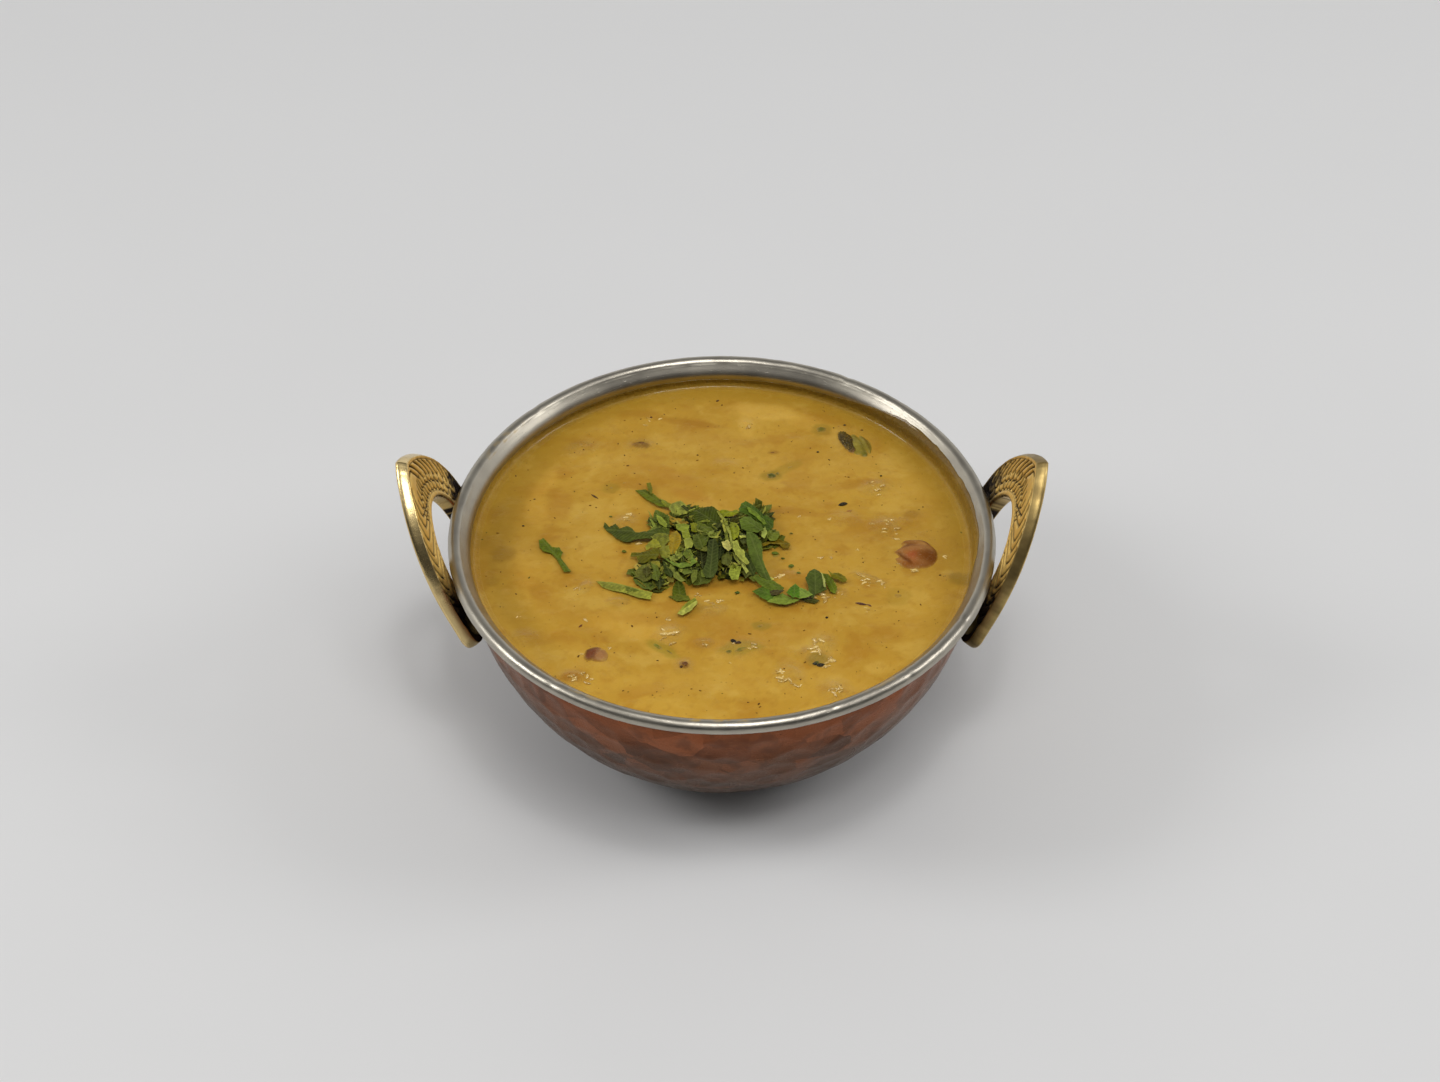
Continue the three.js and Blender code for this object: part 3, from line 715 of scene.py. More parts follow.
# --------------------------------------------------------------------- handles
def outline(t):
    """Outer and inner edge [across, along the slope] for t from 0, the top of the
    arch, to 1, the end of a foot."""
    t = np.asarray(t, float)
    arch, leg = 0.74, 0.82
    a = np.clip(t / arch, 0, 1) * math.pi / 2
    s, c = np.sin(a), np.cos(a)
    c = np.maximum(c, 0)
    O = np.stack([HANDLE_HALF * s ** (2 / 1.25), HANDLE_WAIST + (HANDLE_TOP - HANDLE_WAIST) * c ** (2 / 2.6)], axis=-1)
    I = np.stack([HOLE_HALF * s ** (2 / 1.9), HANDLE_WAIST + (HOLE_TOP - HANDLE_WAIST) * c ** (2 / 2.7)], axis=-1)
    k = np.clip((t - arch) / (leg - arch), 0, 1)[..., None]
    O2 = np.array([HANDLE_HALF, HANDLE_WAIST]) * (1 - k) + np.array([FOOT_Y + FOOT_HALF, FOOT_H]) * k
    I2 = np.array([HOLE_HALF, HANDLE_WAIST]) * (1 - k) + np.array([FOOT_Y - FOOT_HALF, FOOT_H]) * k
    b = np.clip((t - leg) / (1 - leg), 0, 1) * math.radians(82)
    h = FOOT_H - FOOT_ROUND * np.sin(b)
    O3 = np.stack([FOOT_Y + FOOT_HALF * np.cos(b), h], axis=-1)
    I3 = np.stack([FOOT_Y - FOOT_HALF * np.cos(b), h], axis=-1)
    m1 = (t <= arch)[..., None]
    m2 = (t <= leg)[..., None]
    return np.where(m1, O, np.where(m2, O2, O3)), np.where(m1, I, np.where(m2, I2, I3))


def handle_point(side, y, h, depth):
    c, s = math.cos(HANDLE_LEAN), math.sin(HANDLE_LEAN)
    return np.stack([side * (HANDLE_REACH + h * c + depth * s), y + 0 * h, RIM_HEIGHT + h * s - depth * c], axis=-1)


def plate_place(t, u):
    """Place on the plate for a signed t (negative is the front arm) and u across."""
    t, u = np.broadcast_arrays(np.asarray(t, float), np.asarray(u, float))
    O, I = outline(np.abs(t))
    p = O + (I - O) * u[..., None]
    p[..., 0] *= np.where(t < 0, -1, 1)
    return p


def engraving(seed):
    """Strokes cut into the face: (points, half-width, depth)."""
    r = np.random.RandomState(seed)
    cuts = []

    def line(pts, wide, deep):
        t, u = np.array(pts, float).T
        n = 9
        k = np.linspace(0, len(t) - 1, n)
        cuts.append((plate_place(np.interp(k, range(len(t)), t), np.interp(k, range(len(u)), u)), wide, deep))

    def path(t_from, t_to, u):
        """A line along the face: run in mm, points, inward direction, local width."""
        t = np.linspace(t_from, t_to, 700)
        p = plate_place(t, np.full(700, u))
        across = plate_place(t, np.full(700, 1.0)) - plate_place(t, np.full(700, 0.0))
        d = np.gradient(p, axis=0)
        d = d / np.hypot(*d.T)[:, None]
        nrm = np.stack([d[:, 1], -d[:, 0]], axis=1)
        wide = (nrm * across).sum(axis=1)
        nrm = nrm * np.sign(wide)[:, None]
        run = np.concatenate([[0], np.cumsum(np.hypot(*np.diff(p, axis=0).T))])

        def spot(at, off):
            return np.array([np.interp(at, run, p[:, i]) + off * np.interp(at, run, nrm[:, i]) for i in (0, 1)])
        return run[-1], spot, lambda at: np.interp(at, run, np.abs(wide))

    # long lines beside both edges
    for sgn in (-1, 1):
        for a, b in zip(np.linspace(0.0, 0.74, 7)[:-1], np.linspace(0.0, 0.74, 7)[1:]):
            line([(sgn * a, 0.155), (sgn * b, 0.155 + r.normal(0, 0.004))], 0.26, 0.26)
            line([(sgn * a, 0.87), (sgn * b, 0.87 + r.normal(0, 0.004))], 0.22, 0.20)
    # pairs of leaves down the front arm
    k = np.linspace(0, 1, 7)
    total, spot, wide = path(-0.13, -0.78, 0.53)
    at = 0.4
    while at < total - 1.5:
        for sgn, reach in ((-1, 0.335), (1, 0.33)):
            o, w = at + r.normal(0, 0.22), wide(at)
            grow = 1.0 + 0.25 * r.uniform()
            cuts.append((np.array([spot(o + 4.6 * grow * q, sgn * w * reach * (1 - q) ** 0.75) for q in k]), 0.46 + 0.10 * r.uniform(), 0.55))
            for f in (0.36, 0.66):
                cuts.append((np.array([spot(o + 0.9 + 2.9 * f + 1.5 * q, sgn * w * reach * (1 - f) * (1.25 - 0.8 * q)) for q in k]), 0.16, 0.16))
        at += 3.45 + r.normal(0, 0.30)
    # long feather strokes on the outer half, over the top and down the back arm
    total, spot, wide = path(-0.12, 0.72, 0.15)
    at = 0.0
    while at < total - 2:
        w = wide(at)
        deep_in, reach = 0.31 * w + r.normal(0, 0.12), 3.6 + 0.26 * w + r.normal(0, 0.3)
        cuts.append((np.array([spot(at + reach * q, 0.15 + deep_in * q ** 1.15) for q in k]), 0.44 + 0.10 * r.uniform(), 0.55))
        cuts.append((np.array([spot(at + 1.3 + reach * 0.55 * q, 0.35 + deep_in * 0.55 * q ** 1.15) for q in k]), 0.15, 0.14))
        at += 3.3 + r.normal(0, 0.30)

    # rows of scales round the hole
    def scale(tc, u0, u1, wide, lean=0.0):
        pts = [(-1, 0.0), (-1.02, 0.45), (-0.85, 0.75), (-0.45, 0.95), (0, 1.0), (0.45, 0.95), (0.85, 0.75), (1.02, 0.45), (1, 0.0)]
        g = [plate_place(tc + wide * x + lean * y, u0 + (u1 - u0) * y) for x, y in pts]
        cuts.append((np.array(g), 0.42, 0.55))
        cuts.append((np.array([plate_place(tc + lean * y, u0 + (u1 - u0) * y) for y in (0.05, 0.55)]), 0.17, 0.18))

    for i, tc in enumerate(np.arange(-0.17, 0.70, 0.062)):
        scale(tc + r.normal(0, 0.003), 0.44, 0.65, 0.030, -0.014)
    for i, tc in enumerate(np.arange(-0.20, 0.70, 0.062)):
        scale(tc + r.normal(0, 0.003), 0.64, 0.85, 0.030, -0.012)
    return cuts


def make_handle(side, name, node, seed):
    HALF, FACE = 390, 78
    fine = np.linspace(0, 1, 3000)
    O, I = outline(fine)
    mid = O * 0.45 + I * 0.55
    length = np.concatenate([[0], np.cumsum(np.hypot(*np.diff(mid, axis=0).T))])
    ts = np.interp(np.linspace(0, length[-1], HALF + 1), length, fine)
    t = np.concatenate([-ts[:0:-1], ts])
    O, I = outline(np.abs(t))
    sg = np.where(t < 0, -1.0, 1.0)
    w = np.hypot(*(O - I).T)
    n1 = Noise(seed)
    # the outer edge is a little worn and uneven
    O = O - (O - I) / w[:, None] * (0.06 + 0.12 * n1.fbm(t * 9, 0 * t, 3.0, 3))[:, None].clip(0, 0.2)
    w = np.hypot(*(O - I).T)
    inner_thick = np.interp(np.abs(t), [0, 0.74, 0.86, 1], [THICK_INNER, THICK_INNER, THICK_OUTER, THICK_OUTER])
    u = np.concatenate([[0.0], np.linspace(0.012, 0.988, FACE), [1.0]])
    U = np.broadcast_to(u, (len(t), len(u)))
    d_out, d_in = U * w[:, None], (1 - U) * w[:, None]
    # one smooth band from the face's border to the outer side
    bevel = 2.2 * (1 - np.clip(d_out / 1.3, 0, 1) ** 0.75) + 0.75 * (1 - np.clip(d_in / 1.1, 0, 1)) ** 2
    P = O[:, None, :] + (I - O)[:, None, :] * U[..., None]
    Y, H = P[..., 0] * sg[:, None], P[..., 1]
    flat_y, flat_h = Y.ravel(), H.ravel()
    cut, mark = np.zeros(flat_y.shape), np.zeros(flat_y.shape)
    for pts, wide, deep in engraving(seed + 40):
        lo, hi = pts.min(0) - 4 * wide, pts.max(0) + 4 * wide
        near = np.nonzero((flat_y > lo[0]) & (flat_y < hi[0]) & (flat_h > lo[1]) & (flat_h < hi[1]))[0]
        if not len(near):
            continue
        px, py = flat_y[near], flat_h[near]
        best = np.full(len(near), 9.0)
        for (ax, ay), (bx, by) in zip(pts[:-1], pts[1:]):
            vx, vy = bx - ax, by - ay
            k = np.clip(((px - ax) * vx + (py - ay) * vy) / max(vx * vx + vy * vy, 1e-9), 0, 1)
            best = np.minimum(best, np.hypot(px - ax - k * vx, py - ay - k * vy))
        cut[near] = np.maximum(cut[near], deep * (0.75 * np.exp(-best / 0.55) + 0.7 * np.exp(-(best / wide) ** 2 * 2.4)))
        mark[near] = np.maximum(mark[near], min(1.0, deep / 0.42) * np.exp(-(best / wide) ** 2 * 2.2))
    on_face = smooth(1.2, 1.5, d_out) * smooth(0.2, 0.9, d_in)
    cut, mark = cut.reshape(Y.shape) * on_face, mark.reshape(Y.shape) * on_face
    uneven = (0.10 * n1.fbm(Y / 4.0, H / 4.0, 1.0, 3) + 0.05 * n1(Y / 0.9, H / 0.9, 2.0)) * (0.35 + 0.65 * on_face)
    D = bevel + cut + np.clip(uneven + 0.05, -0.02, 0.2)
    rows = [np.stack([Y, H, D], axis=-1)]
    n_rows = len(t)

    def edge(uu, dd):
        p = O + (I - O) * np.asarray(uu)[:, None]
        return np.stack([p[:, 0] * sg, p[:, 1], np.asarray(dd) + 0 * w], axis=-1)[:, None, :]

    low = D[:, -1]
    e = 0.5
    for k in (0.35, 0.7, 1.0):
        rows.append(edge(np.ones(n_rows), low + (inner_thick - e - low) * k))
    rows.append(edge(1 - 0.3 * e / w, inner_thick - 0.3 * e))
    back = np.linspace(1, 0, 4)
    for k in back:
        b0, b1 = 1 - e / w, e / w
        uu = b1 + (b0 - b1) * k
        dd = THICK_OUTER + (inner_thick - THICK_OUTER) * smooth(0, 1, uu) + 0.08 * n1(Y[:, 0] / 6, H[:, 0] / 6, 5 + k * 2)
        rows.append(edge(uu, dd))
    rows.append(edge(0.3 * e / w, np.full(n_rows, THICK_OUTER - 0.3 * e)))
    high = D[:, 0]
    for k in (1.0, 0.75, 0.5, 0.25):
        rows.append(edge(0 * w, high + np.maximum(THICK_OUTER - e - high, 0.02) * k))
    S = np.concatenate(rows, axis=1)
    cols = S.shape[1]
    Yf, Hf, Df = S[..., 0].ravel(), S[..., 1].ravel(), S[..., 2].ravel()
    v = handle_point(side, Yf, Hf, Df)
    groove = np.zeros(S.shape[:2])
    groove[:, : len(u)] = np.clip(mark * 1.15, 0, 1)
    worn = np.zeros(S.shape[:2])
    worn[:, : len(u)] = smooth(1.5, 1.1, d_out) * 0.8 + np.clip(1 - d_in / 2.0, 0, 1) * 0.3
    worn[:, -4:] = 0.8
    worn = worn * (0.8 + 0.3 * n1.fbm(S[..., 0] / 5, S[..., 1] / 5, S[..., 2] / 5, 2))
    # black patina and painted shade where the plate comes close to the rim and at the feet
    along = np.abs(t)[:, None] + 0 * S[..., 0]
    is_face = np.zeros(S.shape[:2])
    is_face[:, : len(u) + 3] = 1
    patch = n1.fbm(S[..., 0] / 2.2, S[..., 1] / 2.2, 7.0, 4)
    backarm = (t > 0)[:, None] * 1.0
    patina_and_shade = is_face * smooth(0.60, 0.70, along + 0.10 * patch + 0.10 * backarm)
    starts = 0.36 if side > 0 else 0.47
    patina_and_shade = np.maximum(patina_and_shade, is_face * backarm * smooth(starts, starts + 0.20, along + 0.2 * patch) * 0.85)
    patina_and_shade = np.maximum(patina_and_shade, 0.12 * smooth(0.15, 0.5, patch) * is_face)
    band = np.zeros(S.shape[:2])
    band[:, : len(u)] = smooth(1.6, 1.2, d_out)
    band[:, -4:] = 1.0
    patina_and_shade = patina_and_shade * (1 - 0.85 * band)
    if side > 0:
        # the right one is browner along its edge
        worn = worn * 0.2
        patina_and_shade = np.maximum(patina_and_shade, band * (0.58 + 0.40 * n1.fbm(S[..., 0] / 4, S[..., 1] / 4, 3.0, 3)).clip(0.1, 0.8))
    else:
        brown = smooth(0.0, 0.35, n1.fbm(S[..., 0] / 5, S[..., 1] / 5, 3.0, 3)) * smooth(0.06, 0.2, along) * (t < 0)[:, None]
        patina_and_shade = np.maximum(patina_and_shade, band * 0.18 * brown)
    face = np.zeros(S.shape[:2])
    face[:, : len(u)] = on_face
    q = grid_faces(n_rows, cols, wrap=True)
    n = len(v)
    c0, c1 = v[:cols].mean(0), v[-cols:].mean(0)
    v = np.concatenate([v, [c0, c1]])
    tris = np.concatenate([fan(n, np.arange(cols), flip=True), fan(n + 1, (n_rows - 1) * cols + np.arange(cols))])
    look = np.stack([groove.ravel(), patina_and_shade.ravel(), worn.ravel().clip(0, 1)], axis=1)
    look = np.concatenate([look, [[0, 1, 0], [0, 1, 0]]])
    faces_at = [np.concatenate([face.ravel(), [0, 0]])]
    q, tris = outward(v, q, tris)
    quads, all_tris, verts, looks = [q], [tris], [v], [look]
    base = len(v)
    # the boss that carries each foot
    for sy in (-1, 1):
        k = np.linspace(0, 2 * math.pi, 40, endpoint=False)
        prof = [(0.0, 1.9), (4.15, 1.9), (4.15, 0.2), (4.3, -1.0), (4.6, -2.2), (4.9, -5.0), (0.0, -5.0)]
        pv = []
        for r_, d_ in prof[1:-1]:
            pv.append(handle_point(side, sy * 16.2 + r_ * np.cos(k), -20.5 + r_ * np.sin(k), np.full(len(k), d_)))
        pv = np.concatenate(pv + [handle_point(side, np.array([sy * 16.2]), np.array([-20.5]), np.array([1.9])), handle_point(side, np.array([sy * 16.2]), np.array([-20.5]), np.array([-5.0]))])
        rowsb = len(prof) - 2
        bq = grid_faces(rowsb, 40, wrap=True)
        bt = np.concatenate([fan(rowsb * 40, np.arange(40), flip=True), fan(rowsb * 40 + 1, (rowsb - 1) * 40 + np.arange(40))])
        bq, bt = outward(pv, bq, bt)
        quads.append(bq + base)
        all_tris.append(bt + base)
        verts.append(pv)
        # the bosses under the rim get the dark patina with painted shade
        looks.append(np.tile([0.0, 0.8, 0.0], (len(pv), 1)))
        faces_at.append(np.zeros(len(pv)))
        base += len(pv)
    v = np.concatenate(verts)
    # nothing reaches into the bowl
    r = np.hypot(v[:, 0], v[:, 1])
    dz = v[:, 2] - BOWL_CENTRE
    keep = np.where(v[:, 2] < 59.5, np.sqrt(np.maximum((SHELL_OUT + 0.03) ** 2 - dz ** 2, 0)), 0)
    keep = np.where((v[:, 2] >= 59.5) & (v[:, 2] < 64.2), RIM_RADIUS + 0.1, keep)
    push = np.where(r < keep, keep / np.maximum(r, 1e-6), 1.0)
    v[:, 0] *= push
    v[:, 1] *= push
    ob = mesh_object(name, v, [np.concatenate(quads), np.concatenate(all_tris)], brass, colours={"face": np.concatenate(faces_at)}, vectors={"look": np.concatenate(looks)})
    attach(ob, "root")
    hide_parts(node)


# ----------------------------------------------------------------------- sauce
N_SAUCE, N_FINE, N_PAINT = Noise(31), Noise(32), Noise(33)

# lumps under the sauce: x, y, half sizes, turn in degrees, rise, roughness
LUMPS = [
    (-22.6, 40.6, 3.4, 2.0, 5, 0.75, 0.8), (-39.0, 39.1, 3.8, 2.2, 12, 0.65, 0.9), (0.9, 32.3, 3.0, 2.0, -8, 0.5, 0.5),
    (41.9, 22.7, 3.4, 2.4, 15, 0.6, 0.9), (43.6, 7.6, 3.2, 3.0, -20, 0.7, 0.9), (49.0, 9.0, 1.8, 1.4, 0, 0.5, 0.5),
    (17.0, -48.1, 2.8, 3.6, 10, 0.8, 0.8), (28.5, -53.6, 3.2, 3.2, 0, 0.85, 0.8), (23.5, -40.6, 3.2, 2.2, -14, 0.8, 1.0),
    (25.9, -36.7, 2.6, 2.2, 20, 0.8, 0.9), (-13.4, -33.5, 3.2, 2.4, 35, 0.75, 0.9), (-4.7, -36.5, 1.8, 1.2, 0, 0.6, 0.8),
    (-35.7, -15.8, 2.0, 1.2, 65, 0.5, 0.8), (-50.4, -34.8, 2.6, 2.4, 0, 0.6, 0.6), (33.6, 10.4, 3.6, 2.4, -12, 0.5, 0.6),
    (38.8, -13.1, 3.6, 1.0, -28, 0.55, 1.0), (-37.9, -48.7, 3.0, 2.0, 5, 0.7, 0.7), (-9.6, -44.6, 1.8, 2.0, 0, 0.6, 0.9),
    (6.9, 49.0, 1.6, 2.4, 10, 0.5, 0.5), (4.9, -38.8, 5.0, 2.6, 8, 0.5, 0.6), (60.5, -13.1, 3.0, 2.2, 0, 0.35, 0.3),
    (-26.0, 9.0, 2.6, 2.2, 30, 0.45, 0.9), (-27.0, -21.5, 2.2, 1.2, 0, 0.4, 0.8), (-2.0, -24.8, 2.6, 1.4, 12, 0.45, 0.9),
    (18.0, -11.4, 1.8, 1.4, 0, 0.4, 0.7), (30.6, -19.0, 1.6, 1.8, 0, 0.45, 0.8), (59.0, 30.0, 2.2, 1.8, 0, 0.3, 0.3),
    (13.0, -30.6, 2.0, 1.2, 0, 0.25, 0.2), (-60.0, 12.0, 2.0, 3.0, 0, 0.3, 0.3), (-31.0, -45.5, 4.2, 3.0, 0, 0.35, 0.4),
    (51.0, -3.0, 8.4, 7.2, -8, 0.42, 0.2), (37.0, 41.2, 5.6, 6.4, 14, 0.35, 0.3), (-7.0, 25.0, 9.0, 2.0, -10, 0.25, 0.1),
    (-40.0, 30.0, 10.0, 2.2, 20, 0.22, 0.1), (22.0, 22.0, 12.0, 2.2, -6, 0.2, 0.1), (-4.0, -54.0, 14.0, 2.4, 2, 0.2, 0.1),
]

# coloured patches in the sauce: x, y, half sizes, turn, colour, strength, edge softness
PATCHES = [
    (12.0, 55.0, 10.0, 3.6, -6, (203, 172, 104), 0.75, 0.6), (23.0, 50.8, 6.0, 3.0, -20, (198, 166, 96), 0.55, 0.7),
    (7.0, 48.8, 2.2, 4.4, 8, (206, 176, 106), 0.65, 0.6), (-48.5, 25.0, 2.6, 6.0, -20, (196, 160, 86), 0.45, 0.7),
    (-50.0, 14.0, 3.0, 7.0, 5, (196, 160, 86), 0.5, 0.7), (-52.9, -9.1, 7.0, 6.0, 0, (192, 154, 78), 0.4, 0.8),
    (-24.0, -30.3, 12.0, 4.6, -14, (197, 160, 84), 0.5, 0.8), (-12.0, -50.0, 16.0, 4.0, 4, (190, 150, 70), 0.4, 0.8),
    (24.0, 30.0, 16.0, 6.0, 10, (192, 152, 76), 0.35, 0.9), (-24.0, 33.0, 12.0, 4.0, 14, (190, 150, 74), 0.35, 0.9),
    (0.0, 42.0, 14.0, 4.0, 0, (190, 150, 78), 0.35, 0.9), (52.0, 22.0, 5.0, 8.0, 10, (188, 150, 72), 0.3, 0.9),
    (-23.4, 54.6, 6.0, 1.5, -4, (164, 116, 42), 0.55, 0.6), (-10.0, 50.6, 9.0, 1.4, -12, (160, 112, 38), 0.6, 0.6),
    (-13.9, 27.9, 8.0, 2.4, -30, (172, 122, 48), 0.5, 0.8), (-8.9, 20.1, 7.0, 2.2, -26, (172, 120, 46), 0.55, 0.8),
    (-6.0, -16.4, 7.0, 2.4, 8, (168, 118, 42), 0.6, 0.7), (9.0, -16.0, 7.0, 2.6, -10, (170, 122, 46), 0.45, 0.8),
    (18.0, 13.4, 9.0, 1.6, -10, (164, 116, 44), 0.55, 0.6), (-44.0, 15.0, 3.4, 5.0, -18, (168, 118, 44), 0.5, 0.7),
    (-38.0, 50.0, 7.0, 1.6, 22, (166, 120, 44), 0.4, 0.7), (34.0, 3.0, 10.0, 2.0, 0, (168, 122, 48), 0.35, 0.8),
    (-8.0, -28.6, 18.0, 3.0, -4, (170, 122, 46), 0.5, 0.8), (12.0, -34.0, 16.0, 3.2, 12, (174, 126, 50), 0.4, 0.8),
    (-41.0, -24.0, 8.0, 3.0, -30, (172, 126, 48), 0.4, 0.8), (44.0, -32.0, 8.0, 3.2, 35, (170, 126, 50), 0.35, 0.8),
    (36.0, 24.0, 10.0, 1.8, 8, (166, 120, 46), 0.4, 0.7), (-30.1, 22.7, 2.4, 2.0, 0, (138, 122, 54), 0.65, 0.6),
    (18.0, 31.0, 5.6, 1.5, 36, (142, 122, 50), 0.6, 0.6), (13.6, 27.9, 2.8, 2.0, 8, (120, 106, 40), 0.7, 0.5),
    (28.0, 47.5, 2.8, 2.6, 0, (132, 112, 44), 0.7, 0.5), (10.0, -30.3, 2.6, 1.6, 8, (124, 112, 50), 0.7, 0.5),
    (-15.0, -38.6, 5.0, 1.6, -34, (134, 124, 46), 0.75, 0.5), (4.9, -38.6, 5.0, 2.6, 14, (138, 126, 52), 0.7, 0.5),
    (24.4, -42.6, 2.6, 2.0, 10, (120, 110, 50), 0.7, 0.5), (62.0, -13.1, 2.6, 2.2, 0, (138, 108, 40), 0.7, 0.5),
    (-58.0, -3.6, 3.2, 3.0, 0, (140, 102, 40), 0.55, 0.6), (-64.0, 2.0, 2.0, 3.4, 0, (142, 104, 42), 0.5, 0.6),
    (-60.5, -14.0, 2.0, 2.0, 0, (146, 108, 44), 0.45, 0.6), (61.2, 33.1, 2.6, 2.2, 0, (148, 112, 44), 0.5, 0.6),
    (46.0, -19.8, 3.4, 3.2, 0, (150, 126, 54), 0.5, 0.4), (-22.6, 40.4, 2.6, 1.4, 0, (120, 84, 32), 0.75, 0.4),
    (14.3, 37.6, 1.6, 0.8, 0, (142, 96, 36), 0.6, 0.5), (51.0, 12.0, 2.2, 1.6, 0, (146, 104, 38), 0.5, 0.5),
    (-9.6, -44.6, 1.2, 1.4, 0, (116, 76, 28), 0.8, 0.4), (-37.9, -48.7, 2.6, 1.5, 5, (158, 108, 32), 0.75, 0.5),
]


def cad_wave(x, y):
    return (np.sin(x * 0.11 + 0.6) * np.cos(y * 0.13 - 0.4) + 0.6 * np.sin((x + y) * 0.19 + 1.1)
            + 0.45 * np.cos((x - 1.7 * y) * 0.16))


def ellipse(x, y, cx, cy, rx, ry, turn):
    a = math.radians(turn)
    dx, dy = x - cx, y - cy
    return np.hypot((dx * math.cos(a) + dy * math.sin(a)) / rx, (-dx * math.sin(a) + dy * math.cos(a)) / ry)


def sauce_height(x, y):
    """Height of the korma's surface in mm."""
    x, y = np.asarray(x, float), np.asarray(y, float)
    r = np.hypot(x, y)
    inside = np.clip((FOOD_RADIUS - r) / 8, 0, 1)
    h = FOOD_LEVEL + 0.15 * cad_wave(x, y) * inside
    wx = x + 3.0 * N_SAUCE(x / 14, y / 14, 2.0)
    wy = y + 3.0 * N_SAUCE(x / 14, y / 14, 7.0)
    swirl = N_SAUCE.fbm(wx / 15, wy / 11, 0.5, 4, 0.5)
    h = h + inside * (0.26 * swirl + 0.09 * N_FINE.fbm(x / 3.2, y / 3.0, 1.0, 3, 0.5))
    for cx, cy, rx, ry, turn, rise, rough in LUMPS:
        near = (np.abs(x - cx) < 3.2 * max(rx, ry)) & (np.abs(y - cy) < 3.2 * max(rx, ry))
        if not near.any():
            continue
        xn, yn = (x[near], y[near]) if x.ndim else (x, y)
        d = ellipse(xn, yn, cx, cy, rx, ry, turn) + 0.25 * N_FINE(xn / 2.2, yn / 2.2, cx)
        bump = rise * np.exp(-(np.maximum(d, 0) / 0.95) ** 2.4)
        bump = bump + rough * 0.50 * np.abs(N_FINE.fbm(xn / 1.25, yn / 1.25, cy, 2, 0.5)) * np.exp(-(d / 1.15) ** 2)
        if x.ndim:
            h[near] += bump
        else:
            h = h + bump
    return h


def sauce_tint(x, y):
    base = mix(lin(179, 137, 54), lin(188, 147, 64), smooth(-0.4, 0.4, N_PAINT.fbm(x / 22, y / 16, 0.0, 4)))
    wx = x + 5.0 * N_PAINT(x / 17, y / 17, 4.0)
    wy = y + 5.0 * N_PAINT(x / 17, y / 17, 9.0)
    streak = N_PAINT.fbm(wx / 14, wy / 9.5, 2.0, 5, 0.55)
    base = mix(base, lin(166, 117, 38), 0.60 * smooth(0.08, 0.42, streak))
    base = mix(base, lin(198, 161, 84), 0.55 * smooth(-0.10, -0.45, streak))
    fine = N_PAINT.fbm(x / 2.8, y / 2.4, 5.0, 4, 0.6)
    base = mix(base, lin(160, 112, 38), 0.32 * smooth(0.15, 0.5, fine))
    for cx, cy, rx, ry, turn, colour, strength, soft in PATCHES:
        near = (np.abs(x - cx) < 2.6 * max(rx, ry)) & (np.abs(y - cy) < 2.6 * max(rx, ry))
        if not near.any():
            continue
        xn, yn = x[near], y[near]
        d = ellipse(xn, yn, cx, cy, rx, ry, turn) + 0.45 * N_PAINT.fbm(xn / (rx * 0.9 + 1), yn / (ry * 0.9 + 1), cx, 3)
        k = strength * smooth(1 + soft * 0.6, 1 - soft * 0.6, d)
        greenish = colour[1] > 0.8 * colour[0]
        base[near] = mix(base[near], lin(*colour) * (np.array([1.12, 1.0, 0.75]) if greenish else 1.0), k * (0.75 if greenish else 1.0))
    r = np.hypot(x, y)
    across, deep = x / np.maximum(r, 1), y / np.maximum(r, 1)
    # painted shade: darker by the wall at the back and sides, and in a band on the left, partly the sauce's own darker
    # edge
    base = mix(base, lin(150, 116, 34), 0.55 * smooth(56, 65, r) * smooth(-0.75, 0.1, deep))
    base = mix(base, lin(146, 112, 36), 0.5 * smooth(53.0, 58.5, r) * smooth(64.5, 60.5, r) * smooth(-0.5, -0.95, across))
    # painted light: lighter towards the front
    base = base * (1 + 0.09 * smooth(-20, -58, y))[:, None]
    # the sauce holds more yellow than the swatches above
    return base * np.array([1.0, 0.985, 0.66])


def concentric(n):
    """A square grid of (n+1)^2 points pressed onto the unit disc."""
    g = np.linspace(-1, 1, n + 1)
    a, b = np.meshgrid(g, g)
    swap = np.abs(a) < np.abs(b)
    r = np.where(swap, b, a)
    with np.errstate(divide="ignore", invalid="ignore"):
        phi = np.where(swap, math.pi / 2 - math.pi / 4 * (a / np.where(b == 0, 1, b)), math.pi / 4 * (b / np.where(a == 0, 1, a)))
    x, y = r * np.cos(phi), r * np.sin(phi)
    x[(a == 0) & (b == 0)] = 0
    y[(a == 0) & (b == 0)] = 0
    idx = np.arange((n + 1) ** 2).reshape(n + 1, n + 1)
    ring = np.concatenate([idx[0, :-1], idx[:-1, -1], idx[-1, :0:-1], idx[:0:-1, 0]])
    return x.ravel(), y.ravel(), ring


